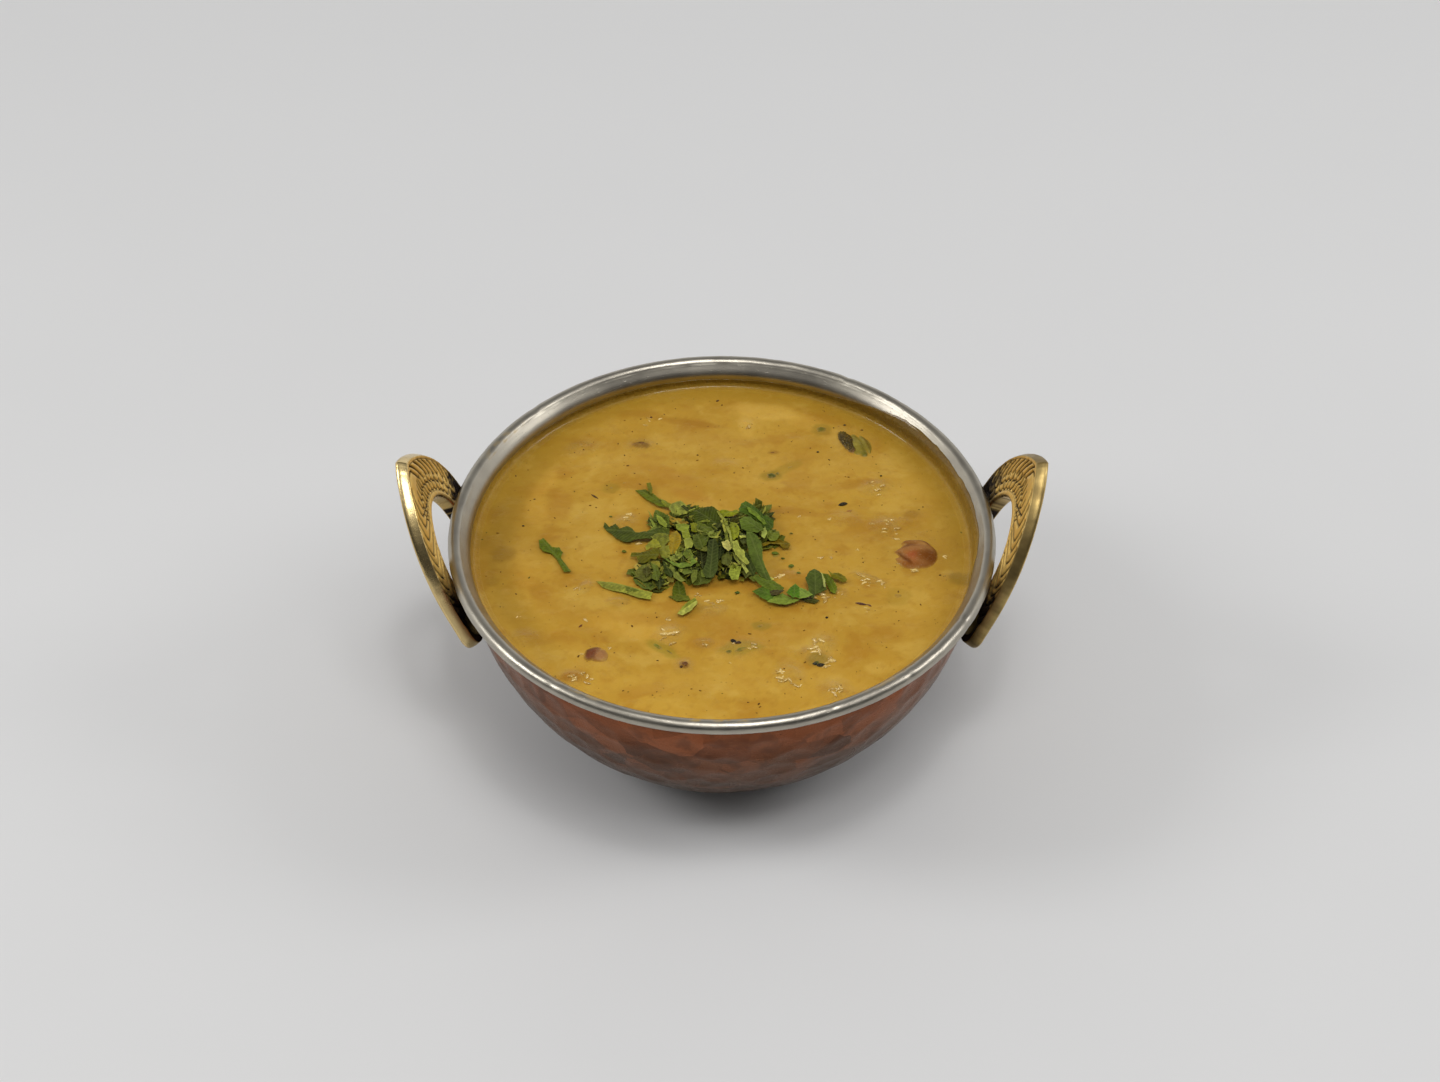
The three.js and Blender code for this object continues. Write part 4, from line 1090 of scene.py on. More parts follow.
def make_sauce():
    N = 254
    FLAT = 64.4
    x, y, ring = concentric(N)
    x, y = x * FLAT, y * FLAT
    z = sauce_height(x, y)
    v = [np.stack([x, y, z], axis=1)]
    tint = [sauce_tint(x, y)]
    wet = [np.zeros(len(x))]
    for cx, cy, rx, ry, turn, rise, rough in LUMPS:
        d = ellipse(x, y, cx, cy, rx, ry, turn)
        wet[0] = np.maximum(wet[0], rough * smooth(1.9, 0.8, d))
    wet[0] = np.clip(wet[0] + 0.35 * smooth(0.1, 0.5, N_FINE.fbm(x / 7, y / 5, 3.0, 3)), 0, 1)
    cols = len(ring)
    ux, uy = x[ring] / FLAT, y[ring] / FLAT
    th = np.arctan2(uy, ux)
    rough_top = 0.5 * N_FINE.fbm(7 * np.cos(th), 7 * np.sin(th), 0.0, 4) + 0.3 * N_FINE(26 * np.cos(th), 26 * np.sin(th), 3.0)
    z_edge = sauce_height(ux * FLAT, uy * FLAT)
    # the film on the wall is dark at the back and plain sauce elsewhere
    shade_at = 0.12 + 0.88 * smooth(0.35, 0.8, uy) + 0.45 * smooth(0.6, 0.95, ux) * smooth(-0.3, 0.2, uy)
    lip = 57.7 + 0.25 * rough_top + 0.5 * smooth(0.5, 0.95, np.abs(ux))
    film = 58.75 + 0.45 * rough_top - 0.6 * smooth(0.2, -0.6, uy)
    film = film + (3.15 + 0.5 * rough_top) * smooth(0.42, 0.78, ux) * smooth(-0.45, 0.0, uy)
    film = np.clip(film, lip + 0.25, 62.4)
    # the liner's inner side, where it bends out into the rim
    a0 = math.radians(148)
    r0, r1 = math.sqrt(LINER_IN ** 2 - (59.5 - BOWL_CENTRE) ** 2), RIM_RADIUS - BEAD_RADIUS + BEAD_RADIUS * math.cos(a0)
    z0, z1 = 59.5, RIM_HEIGHT - BEAD_RADIUS + BEAD_RADIUS * math.sin(a0)
    k = np.linspace(0, 1, 80)
    h0, h1, h2, h3 = 2 * k ** 3 - 3 * k ** 2 + 1, k ** 3 - 2 * k ** 2 + k, -2 * k ** 3 + 3 * k ** 2, k ** 3 - k ** 2
    flare_r = h0 * r0 + h1 * 0.08 + h2 * r1 + h3 * 3.2 * math.sin(a0)
    flare_z = h0 * z0 + h1 * 4.0 + h2 * z1 - h3 * 3.2 * math.cos(a0)

    def wall(zz):
        return np.where(zz < 59.5, np.sqrt(np.maximum(LINER_IN ** 2 - (zz - BOWL_CENTRE) ** 2, 0)), np.interp(zz, flare_z, flare_r))

    rows = []
    # the meniscus: a smooth bend up the wall
    for k in np.linspace(0, 1, 10)[1:]:
        rr = FLAT + (wall(lip) - 0.16 - FLAT) * (1 - (1 - k) ** 1.25)
        zz = z_edge + (lip - z_edge) * k ** 4.2
        rows.append((rr, zz, 0.35 + 0.6 * k, 0.5 * k ** 2))
    for k in np.linspace(0, 1, 9)[1:]:
        zz = lip + (film - lip) * k
        rows.append((wall(zz) - 0.13 - 0.03 * (1 - k) + 0 * zz, zz, 1.0, 0.55 + 0.45 * k))
    rows.append((wall(film) - 0.05, film + 0.06, 1.0, 1.0))
    rows.append((wall(film) - 0.02, film - 0.02, 1.0, 1.0))
    for zz in (57.0, 50.0, 38.0, 22.0, 8.0, 2.05):
        zz = np.full(cols, zz)
        rows.append((np.sqrt((LINER_IN - 0.08) ** 2 - (zz - BOWL_CENTRE) ** 2), zz, 0.5, 0.3))
    edge_t = sauce_tint(ux * FLAT, uy * FLAT)
    olive, dark = lin(124, 96, 24), lin(92, 66, 16)
    for rr, zz, w, o in rows:
        rr = rr + 0 * th
        v.append(np.stack([ux * rr, uy * rr, zz + 0 * rr], axis=1))
        spot = smooth(0.1, 0.5, N_FINE.fbm(24 * np.cos(th), 24 * np.sin(th), rr * 0.6 + 2, 3))
        c = mix(edge_t, mix(np.tile(olive, (cols, 1)), np.tile(dark, (cols, 1)), 0.55 * np.full(cols, o) + 0.3 * spot), np.clip(o * 1.6 * shade_at, 0, 1))
        tint.append(c)
        wet.append(np.full(cols, w))
    v.append(np.array([[0, 0, 2.05]]))
    tint.append(edge_t[:1])
    wet.append(np.array([0.0]))
    n0 = (N + 1) ** 2
    q = [grid_faces(N + 1, N + 1)]
    prev = ring
    for k in range(len(rows)):
        cur = n0 + k * cols + np.arange(cols)
        q.append(np.stack([prev, np.roll(prev, -1), np.roll(cur, -1), cur], axis=1)[:, ::-1])
        prev = cur
    t = fan(n0 + len(rows) * cols, prev)
    V = np.concatenate(v)
    Q = np.concatenate(q)
    Q, t = outward(V, Q, t)
    ob = mesh_object("korma_sauce", V, [Q, t], sauce_material(), colours={"tint": np.concatenate(tint), "wet": np.concatenate(wet)})
    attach(ob, "root")
    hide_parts("korma")


# ------------------------------------------------------------ pieces in the sauce
def ball(across=24, down=16):
    """Unit sphere: vertices, quads, tris."""
    la = np.linspace(0, math.pi, down + 1)[1:-1]
    lo = np.linspace(0, 2 * math.pi, across, endpoint=False)
    v = np.stack([np.sin(la)[:, None] * np.cos(lo), np.sin(la)[:, None] * np.sin(lo), np.cos(la)[:, None] + 0 * lo], axis=-1).reshape(-1, 3)
    v = np.concatenate([v, [[0, 0, 1], [0, 0, -1]]])
    rows = down - 1
    q = grid_faces(rows, across, wrap=True)
    t = np.concatenate([fan(rows * across, np.arange(across), flip=True), fan(rows * across + 1, (rows - 1) * across + np.arange(across))])
    q, t = outward(v, q, t)
    return v, q, t


def turn_z(v, deg):
    a = math.radians(deg)
    c, s = math.cos(a), math.sin(a)
    return np.stack([v[:, 0] * c - v[:, 1] * s, v[:, 0] * s + v[:, 1] * c, v[:, 2]], axis=1)


def sauce_over(v, colours, low=0.0, high=0.5, coat=(176, 134, 56), seed=1):
    """Sauce clings to a piece near the level where it comes out."""
    z0 = sauce_height(v[:, 0], v[:, 1])
    n = Noise(seed)
    k = smooth(high, low, v[:, 2] - z0 + 0.25 * n.fbm(v[:, 0] / 1.6, v[:, 1] / 1.6, v[:, 2] / 1.6, 3))
    return mix(colours, lin(*coat), k)


def make_tomato():
    v, q, t = ball(80, 56)
    n = Noise(51)
    x, y, z = v.T
    k = 1 + 0.06 * (np.sin(2.3 * x + 1.1) * np.cos(1.9 * y - 0.4)) + 0.07 * n.fbm(x * 1.6, y * 1.6, z * 1.6, 3)
    p = v * k[:, None]
    up = smooth(-0.1, 0.5, z)
    # a folded skin from the left tip over the back, a band of flesh, and a hollow in front of it
    left = smooth(-0.35, -1.0, x)
    p[:, 1] *= 1 - 0.45 * left
    back = np.exp(-((y - 0.46 - 0.10 * x) / 0.15) ** 2) * smooth(0.75, 0.1, x) * up
    p[:, 2] -= 0.13 * back
    fold = np.exp(-((y - 0.66 + 0.10 * x) / 0.13) ** 2) * smooth(0.75, 0.1, x) * up
    p[:, 2] += 0.12 * fold
    hollow = np.exp(-((y + 0.22 + 0.42 * (x + 0.5)) / 0.15) ** 2) * smooth(-0.95, -0.6, x) * smooth(0.3, -0.3, x) * up
    p[:, 2] -= 0.16 * hollow
    p = p * [7.5, 7.0, 4.0]
    p = turn_z(p, -6)
    top = p[:, 2].max()
    p += [51.2, -4.2, float(sauce_height(np.array([51.2]), np.array([-4.2]))[0]) - 0.42 + 2.1 - top]
    wob = 0.10 * n.fbm(x * 2.4, y * 2.4, z * 2.4 + 7, 3)
    c = mix(np.tile(lin(160, 106, 50), (len(v), 1)), lin(172, 124, 62), smooth(-0.1, 0.5, n.fbm(x * 2, y * 2, z * 2 + 4, 3)))
    rxy = np.hypot(x, y) + wob
    low = smooth(-0.30, -0.60, y + wob)
    c = mix(c, lin(138, 80, 26), 0.9 * low)
    c = mix(c, lin(160, 74, 42), 0.85 * np.exp(-(((x + 0.06) / 0.27) ** 2 + ((y + 0.20 + wob) / 0.22) ** 2)))
    c = mix(c, lin(112, 58, 6), 0.97 * np.exp(-(((x - 0.50) / 0.46) ** 2 + ((y + 0.12 + wob) / 0.36) ** 2) ** 1.4))
    crease = np.exp(-((y + 0.22 + 0.9 * (x + 0.42) + 0.5 * wob) / 0.11) ** 2) * smooth(-0.85, -0.6, x) * smooth(0.05, -0.2, x)
    c = mix(c, lin(98, 48, 8), 0.95 * crease)
    rim = smooth(0.62, 0.80, rxy) * smooth(-0.25, 0.15, y + 0.2 * x)
    c = mix(c, mix(np.tile(lin(124, 78, 40), (len(v), 1)), lin(108, 60, 6), smooth(0.1, 0.6, x)), 0.95 * rim)
    c = mix(c, lin(102, 60, 26), 0.8 * back * smooth(0.3, -0.3, x))
    c = c * (1 + 0.10 * n.fbm(x * 4, y * 4, z * 4, 3))[:, None]
    c = sauce_over(p, c, 0.0, 0.42, coat=(168, 122, 48), seed=52)
    pile = Pile()
    pile.add(p, q, t, c)
    ob = pile.object("tomato_chunk", wet_material("tomato_wet", 0.30, 420, lin(112, 60, 10), 0.25, 0.22))
    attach(ob, "root")
    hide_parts("tomato_piece")


def make_bean():
    v, q, t = ball(56, 36)
    n = Noise(61)
    x, y, z = v.T
    k = 1 + 0.08 * n.fbm(x * 1.8, y * 1.8, z * 1.8, 3) - 0.18 * np.exp(-((y + 0.9) / 0.35) ** 2) * np.exp(-(x / 0.4) ** 2)
    wrinkle = np.sin(9 * y + 3 * n(x * 2, y * 2, z * 2)) * 0.02
    p = v * (k + wrinkle)[:, None] * [3.7, 3.3, 2.5]
    p[:, 2] -= 0.35 * np.exp(-((x - 0.05 - 0.3 * y) / 0.10) ** 2) * smooth(0, 0.6, z)
    p = turn_z(p, -14)
    p += [-32.1, -41.0, float(sauce_height(np.array([-32.1]), np.array([-41.0]))[0]) - 0.3 + 1.5 - p[:, 2].max()]
    c = mix(np.tile(lin(116, 62, 36), (len(v), 1)), lin(160, 112, 66), smooth(-0.12, 0.22, x + 0.25 * n(x * 2, y * 2, 3)))
    c = mix(c, lin(92, 52, 10), smooth(-0.25, -0.75, x - 0.5 * y) * 0.8)
    c = c * (1 + 0.15 * n.fbm(x * 3, y * 3, z * 3, 3))[:, None]
    c = sauce_over(p, c, 0.0, 0.75, coat=(180, 138, 58), seed=62)
    pile = Pile()
    pile.add(p, q, t, c)
    ob = pile.object("red_bean", wet_material("bean_wet", 0.28, 600, lin(100, 54, 20), 0.25, 0.25))
    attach(ob, "root")
    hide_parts("bean_piece")


def make_pepper():
    """A dark seedy half and a green half of a cut pepper."""
    pile = Pile()
    n = Noise(71)
    v, q, t = ball(64, 44)
    x, y, z = v.T
    z0 = float(sauce_height(np.array([37.0]), np.array([41.2]))[0]) - 0.3
    p = v * (1 + 0.10 * n.fbm(x * 1.7, y * 1.7, z * 1.7, 3))[:, None] * [3.9, 5.6, 2.4]
    p[:, 2] -= 0.7 * np.exp(-((p[:, 0] - 1.2) / 0.5) ** 2) * smooth(0, 1, z)
    p = turn_z(p, 20)
    p += [38.2, 40.3, z0 + 1.25 - p[:, 2].max()]
    c = mix(np.tile(lin(138, 122, 40), (len(v), 1)), lin(158, 142, 62), smooth(0.0, 0.5, n.fbm(x * 2.2, y * 2.2, z * 2.2, 3)))
    c = mix(c, lin(104, 82, 8), 0.95 * np.exp(-((x - 0.58 - 0.10 * y) / 0.10) ** 2) * smooth(-0.8, -0.3, y))
    c = mix(c, lin(112, 98, 16), 0.8 * np.exp(-((x - 0.05) / 0.12) ** 2) * smooth(0.1, -0.4, y))
    c = mix(c, lin(92, 90, 10), smooth(-0.45, -0.85, y) * 0.85)
    c = mix(c, lin(150, 134, 30), smooth(0.5, 0.9, y) * 0.8)
    c = sauce_over(p, c, -0.1, 0.30, coat=(160, 130, 40), seed=72)
    pile.add(p, q, t, c)
    v, q, t = ball(72, 52)
    x, y, z = v.T
    seedy = np.abs(n.fbm(x * 6, y * 11, z * 6, 3, 0.6))
    p = v * (1 + 0.12 * n.fbm(x * 2.1 + 4, y * 2.1, z * 2.1, 3) + 0.34 * seedy)[:, None] * [2.1, 5.0, 1.9]
    p = turn_z(p, 22)
    p += [35.2, 41.4, z0 + 1.6 - p[:, 2].max()]
    c = mix(np.tile(lin(50, 38, 6), (len(v), 1)), lin(126, 100, 40), smooth(0.12, 0.55, seedy))
    # painted highlights: pale spots on the seeds towards the left stand in for glints
    c = mix(c, lin(176, 158, 112), smooth(0.38, 0.62, seedy) * smooth(0.1, -0.5, x) * 0.9)
    c = mix(c, lin(118, 72, 20), smooth(-0.55, -0.9, y) * 0.8)
    c = mix(c, lin(104, 92, 20), smooth(0.5, 0.9, y) * 0.5)
    c = sauce_over(p, c * np.array([1.0, 0.95, 0.6]), -0.1, 0.30, seed=73)
    pile.add(p, q, t, c)
    ob = pile.object("pepper_cut", wet_material("pepper_wet", 0.26, 500, lin(56, 48, 6), 0.3, 0.25, coat=0.15))
    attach(ob, "root")
    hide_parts("green_pepper_piece")


def make_bits():
    """Green bits, seeds and brown specks, each kind one piece."""
    r = np.random.RandomState(77)
    green = Pile()
    bv, bq, bt = ball(16, 10)
    n = Noise(78)
    # x, y, half sizes, turn, how far it stands out, colour
    greens = [
        (28.0, 47.5, 2.0, 1.8, 10, 0.30, (104, 100, 44)), (13.6, 27.9, 2.0, 1.5, 12, 0.35, (72, 78, 40)), (15.2, 28.6, 1.0, 0.8, 30, 0.25, (110, 100, 44)),
        (19.0, 31.6, 2.2, 0.7, 38, 0.12, (128, 116, 52)), (-30.1, 22.7, 1.5, 1.2, 0, 0.06, (116, 112, 56)), (10.0, -30.3, 2.0, 1.0, 10, 0.14, (96, 98, 46)),
        (-16.6, -37.6, 2.4, 0.8, -38, 0.22, (110, 118, 44)), (-13.4, -39.6, 1.8, 0.5, -40, 0.16, (98, 104, 42)), (4.9, -39.4, 2.2, 0.9, 16, 0.25, (116, 116, 52)),
        (8.0, -38.0, 1.4, 0.7, 20, 0.25, (124, 120, 60)), (2.0, -40.0, 1.3, 0.9, -20, 0.22, (92, 92, 44)), (46.0, -19.8, 2.6, 2.5, 0, 0.16, (144, 126, 58)),
        (24.0, -43.4, 1.3, 1.0, 0, 0.32, (74, 80, 48)), (14.4, -3.9, 1.3, 0.9, 20, 0.28, (126, 124, 40)), (18.2, -8.6, 0.9, 0.7, 0, 0.25, (110, 112, 40)),
        (-26.8, 24.6, 0.8, 0.5, 30, 0.10, (120, 112, 52)), (36.6, 38.0, 1.2, 0.8, -30, 0.30, (142, 134, 62)), (-46.0, 46.0, 1.0, 0.6, 0, 0.06, (120, 104, 46)),
        (59.0, -12.0, 1.4, 1.0, 0, 0.05, (128, 106, 46)), (-20.0, 30.0, 0.9, 0.5, 0, 0.08, (126, 112, 50)), (-6.0, 36.0, 0.8, 0.5, 40, 0.05, (134, 116, 54)),
    ]
    for x, y, a, b, turn, up, colour in greens:
        p = bv * (1 + 0.22 * n.fbm(bv[:, 0] * 1.6 + x, bv[:, 1] * 1.6, bv[:, 2] * 1.6, 3))[:, None] * [a, b, 0.6 * min(a, b) + 0.3]
        p = turn_z(p, turn)
        p += [x, y, float(sauce_height(np.array([x]), np.array([y]))[0]) + up - p[:, 2].max()]
        c = mix(np.tile(lin(*colour), (len(p), 1)), lin(colour[0] + 22, colour[1] + 20, colour[2] + 14), smooth(-0.1, 0.4, n.fbm(p[:, 0] / 1.2, p[:, 1] / 1.2, 0.0, 3)))
        c = c * np.array([1.08, 0.95, 0.5])
        c = sauce_over(p, c, -0.05, 0.22, seed=79)
        green.add(p, bq, bt, c)
    ob = green.object("green_bits", wet_material("green_bits_wet", 0.30, 700, lin(84, 84, 26), 0.35, 0.25))
    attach(ob, "root")

    dark = Pile()
    # black seeds and purple-brown slivers
    seeds = [
        (32.9, 16.2, 1.45, 0.68, 18, 0.55, (30, 24, 18)), (3.0, -36.2, 1.0, 0.62, -40, 0.55, (34, 26, 24)), (4.2, -37.0, 0.8, 0.5, 10, 0.45, (70, 44, 36)),
        (25.0, -44.2, 1.15, 0.72, 8, 0.5, (26, 24, 24)), (23.6, -43.8, 0.7, 0.5, 0, 0.4, (44, 48, 40)), (36.2, -22.5, 1.7, 0.42, -14, 0.35, (86, 52, 46)),
        (38.2, -23.0, 0.8, 0.3, -30, 0.25, (104, 66, 50)), (-34.7, 19.4, 1.5, 0.34, -42, 0.25, (84, 56, 28)), (34.4, 13.5, 1.5, 0.55, 14, 0.12, (150, 92, 48)),
        (27.1, -27.5, 0.42, 0.36, 0, 0.3, (28, 22, 16)), (43.8, 27.4, 0.36, 0.3, 0, 0.28, (34, 26, 16)), (26.7, 37.6, 0.42, 0.32, 0, 0.28, (34, 26, 16)),
        (-20.0, 52.7, 0.40, 0.34, 0, 0.25, (84, 42, 22)), (-1.2, 60.1, 0.62, 0.34, 30, 0.25, (84, 50, 24)), (23.9, 63.0, 0.62, 0.36, 10, 0.30, (52, 36, 16)),
        (34.6, 49.4, 0.5, 0.4, 0, 0.25, (62, 46, 22)), (-53.5, 7.6, 0.44, 0.34, 0, 0.25, (60, 42, 18)), (-51.0, 18.1, 0.4, 0.32, 0, 0.22, (64, 44, 20)),
        (-9.4, -44.4, 0.9, 0.8, 20, 0.42, (104, 62, 30)), (-10.2, -45.4, 0.5, 0.4, 0, 0.35, (70, 42, 24)), (-22.6, 40.9, 1.2, 0.7, 8, 0.38, (112, 74, 34)),
        (-36.4, -30.4, 0.7, 0.3, 50, 0.3, (120, 66, 34)), (14.3, 37.7, 1.0, 0.3, 6, 0.15, (128, 80, 34)),
    ]
    sv, sq, st = ball(18, 12)
    for x, y, a, b, turn, up, colour in seeds:
        k = 1 + 0.12 * n.fbm(sv[:, 0] * 2 + x, sv[:, 1] * 2, sv[:, 2] * 2, 2)
        p = sv * k[:, None] * [a, b, b]
        p[:, 1] *= 1 - 0.35 * smooth(0.2, 1.0, np.abs(sv[:, 0]))
        p = turn_z(p, turn)
        p += [x, y, float(sauce_height(np.array([x]), np.array([y]))[0]) + up - p[:, 2].max()]
        c = np.tile(lin(*colour), (len(p), 1)) * (0.8 + 0.5 * (0.5 + n.fbm(p[:, 0] * 2, p[:, 1] * 2, p[:, 2] * 2, 2)))[:, None]
        c = sauce_over(p, c, -0.05, 0.10, seed=80)
        dark.add(p, sq, st, c)
    ob = dark.object("seeds", wet_material("seed_wet", 0.28, 900, lin(20, 16, 12), 0.35, 0.25))
    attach(ob, "root")

    specks = Pile()
    kv, kq, kt = ball(7, 5)
    for i in range(300):
        a, rr = r.uniform(0, 2 * math.pi), 64.5 * math.sqrt(r.uniform(0, 1))
        x, y = rr * math.cos(a), rr * math.sin(a)
        size = 0.10 + 0.16 * r.uniform() ** 2.2
        stretch = r.uniform(1.0, 2.0)
        p = kv * r.uniform(0.75, 1.2, (len(kv), 1)) * [size * stretch, size, size]
        p = turn_z(p, r.uniform(0, 180))
        p += [x, y, float(sauce_height(np.array([x]), np.array([y]))[0]) + size * r.uniform(0.15, 0.5)]
        p[:, 2] -= size * 0.4
        u = r.uniform()
        colour = (74, 50, 18) if u < 0.18 else (108, 72, 22) if u < 0.60 else (138, 98, 30) if u < 0.88 else (112, 100, 30)
        specks.add(p, kq, kt, lin(*colour))
    ob = specks.object("spice_specks", wet_material("speck_wet", 0.45, 1500, lin(60, 42, 14), 0.3, 0.15))
    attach(ob, "root")


def make_curds():
    """Small wet curds on the lumps, where the light glints; their pale tints are partly painted highlights, and each is
    painted darker underneath.
    """
    r = np.random.RandomState(83)
    pile = Pile()
    bv, bq, bt = ball(18, 12)
    n = Noise(84)
    # x, y, how many, spread, size
    places = [
        (-35.3, -28.1, 2, 0.6, 0.8), (-13.9, -28.1, 3, 0.9, 0.8), (-13.3, -35.0, 8, 2.6, 1.1), (-4.8, -37.1, 4, 1.4, 0.9), (3.6, -36.8, 3, 1.0, 0.8),
        (7.7, -38.9, 4, 1.6, 1.0), (2.1, -43.9, 2, 0.8, 0.7), (14.9, -48.7, 6, 2.0, 1.1), (17.6, -50.8, 6, 2.2, 1.2), (24.0, -39.6, 8, 2.4, 1.1),
        (27.9, -42.1, 4, 1.5, 1.0), (26.6, -44.9, 4, 1.6, 0.9), (29.8, -52.9, 6, 2.2, 1.1), (-34.2, -48.4, 6, 2.4, 1.1), (25.1, -36.8, 4, 1.6, 1.2),
        (27.5, -54.3, 3, 1.4, 1.1), (-37.5, -49.4, 4, 1.6, 1.0), (40.2, 8.1, 3, 1.2, 0.8), (44.7, 9.1, 4, 1.4, 0.9), (43.9, 5.8, 4, 1.4, 0.9),
        (46.4, 5.3, 3, 1.0, 0.9), (46.5, 2.1, 2, 0.8, 0.8), (29.4, 10.5, 2, 0.6, 0.7), (42.7, 21.5, 5, 2.2, 0.9), (35.9, -1.6, 2, 0.8, 0.7),
        (36.1, -12.1, 5, 1.8, 0.8), (41.6, -15.2, 5, 1.8, 0.8), (38.8, -13.9, 5, 1.8, 0.9), (50.6, -9.8, 4, 1.5, 0.9), (14.8, -11.9, 5, 1.0, 1.2),
        (-0.5, -21.0, 4, 1.2, 0.8), (-2.6, -22.0, 4, 1.2, 0.8), (27.4, -20.9, 3, 0.8, 1.2), (26.9, -19.1, 3, 0.7, 0.9), (-25.6, 9.8, 3, 0.8, 1.0),
        (-25.1, 11.8, 3, 0.8, 1.0), (-21.9, 1.2, 2, 0.6, 0.9), (-6.2, -19.1, 3, 0.8, 1.0), (29.2, -5.0, 2, 0.5, 0.7), (26.0, -5.0, 2, 0.5, 0.7),
        (23.8, -19.8, 3, 1.0, 0.9), (28.9, 10.2, 2, 0.5, 0.7), (21.1, 11.4, 2, 0.4, 0.8), (-23.4, -10.0, 2, 0.4, 0.8), (-37.8, -16.6, 4, 1.6, 0.8),
        (-20.0, 52.0, 6, 4.0, 0.7), (-52.0, -27.0, 3, 1.4, 0.7), (6.9, 48.6, 3, 1.6, 0.8), (41.0, 24.0, 3, 1.6, 0.8), (30.6, -19.0, 3, 1.4, 0.8),
        (-28.6, -38.4, 2, 0.4, 0.9), (-35.6, -40.4, 1, 0.2, 0.8), (38.0, -25.0, 3, 1.2, 0.7), (59.0, -4.6, 2, 0.5, 0.8), (46.6, -7.2, 4, 1.2, 0.8),
    ]
    for x0, y0, count, spread, size in places:
        for i in range(count):
            x, y = x0 + r.normal(0, 0.42) * spread, y0 + r.normal(0, 0.42) * spread
            a = size * r.uniform(0.45, 1.15)
            b = a * r.uniform(0.25, 0.5)
            rise = b * r.uniform(0.7, 1.0)
            p = bv * (1 + 0.16 * n.fbm(bv[:, 0] * 1.8 + x, bv[:, 1] * 1.8 + y, bv[:, 2] * 1.8, 2))[:, None] * [a, b, 0.75 * b + 0.1]
            p[:, 1] += 0.22 * p[:, 0] ** 2 / a * r.choice([-1, 1])
            p = turn_z(p, r.normal(0, 34))
            p += [x, y, float(sauce_height(np.array([x]), np.array([y]))[0]) + rise - p[:, 2].max()]
            # painted highlight: the paler tints, partly the curds' own cream, stand in for glints
            pale = r.uniform()
            c = mix(lin(180, 140, 52), lin(226, 192, 108), smooth(0.25, 0.8, pale))
            # painted shade: each curd darker underneath
            c = mix(np.tile(c * 0.9, (len(p), 1)), c, smooth(0.3, 0.9, bv[:, 2]))
            pile.add(p, bq, bt, c)
    ob = pile.object("korma_curds", wet_material("curd_wet", 0.14, 900, lin(160, 116, 40), 0.2, 0.9, coat=1.0))
    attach(ob, "root")


# ------------------------------------------------------------------- coriander
LEAF_DARK, LEAF_OLIVE, LEAF_MID, LEAF_PALE = lin(66, 84, 36), lin(84, 92, 22), lin(104, 116, 46), lin(146, 152, 74)
N_LEAF = Noise(91)

# the pile's mounds: x, y, radius, height, share of the leaves
MOUNDS = [
    (-1.0, 0.0, 8.0, 5.0, 0.30), (-18.0, -12.0, 5.4, 1.9, 0.13), (-9.5, -8.5, 5.6, 3.4, 0.14), (-8.5, 8.6, 5.4, 3.2, 0.12),
    (9.0, 9.0, 5.0, 2.8, 0.10), (12.5, 2.0, 3.4, 1.9, 0.05), (-16.5, 7.2, 3.2, 2.2, 0.05), (3.0, -8.5, 5.4, 3.0, 0.11),
]


def pile_height(x, y):
    h = np.zeros(np.shape(x))
    for cx, cy, r, up, _ in MOUNDS:
        d = np.hypot(x - cx, y - cy) / r
        h = np.maximum(h, up * np.clip(1.15 - 0.75 * d ** 2, 0, 1))
    return h


def spline(points, n):
    """Catmull-Rom through the points, n places at even steps."""
    p = np.asarray(points, float)
    p = np.concatenate([[2 * p[0] - p[1]], p, [2 * p[-1] - p[-2]]])
    out = []
    for i in range(1, len(p) - 2):
        for k in np.linspace(0, 1, 16, endpoint=False):
            a, b, c, d = p[i - 1], p[i], p[i + 1], p[i + 2]
            out.append(0.5 * ((2 * b) + (c - a) * k + (2 * a - 5 * b + 4 * c - d) * k * k + (-a + 3 * b - 3 * c + d) * k ** 3))
    out.append(p[-2])
    out = np.array(out)
    s = np.concatenate([[0], np.cumsum(np.linalg.norm(np.diff(out, axis=0), axis=1))])
    t = np.linspace(0, s[-1], n)
    return np.stack([np.interp(t, s, out[:, i]) for i in range(3)], axis=1), s[-1]


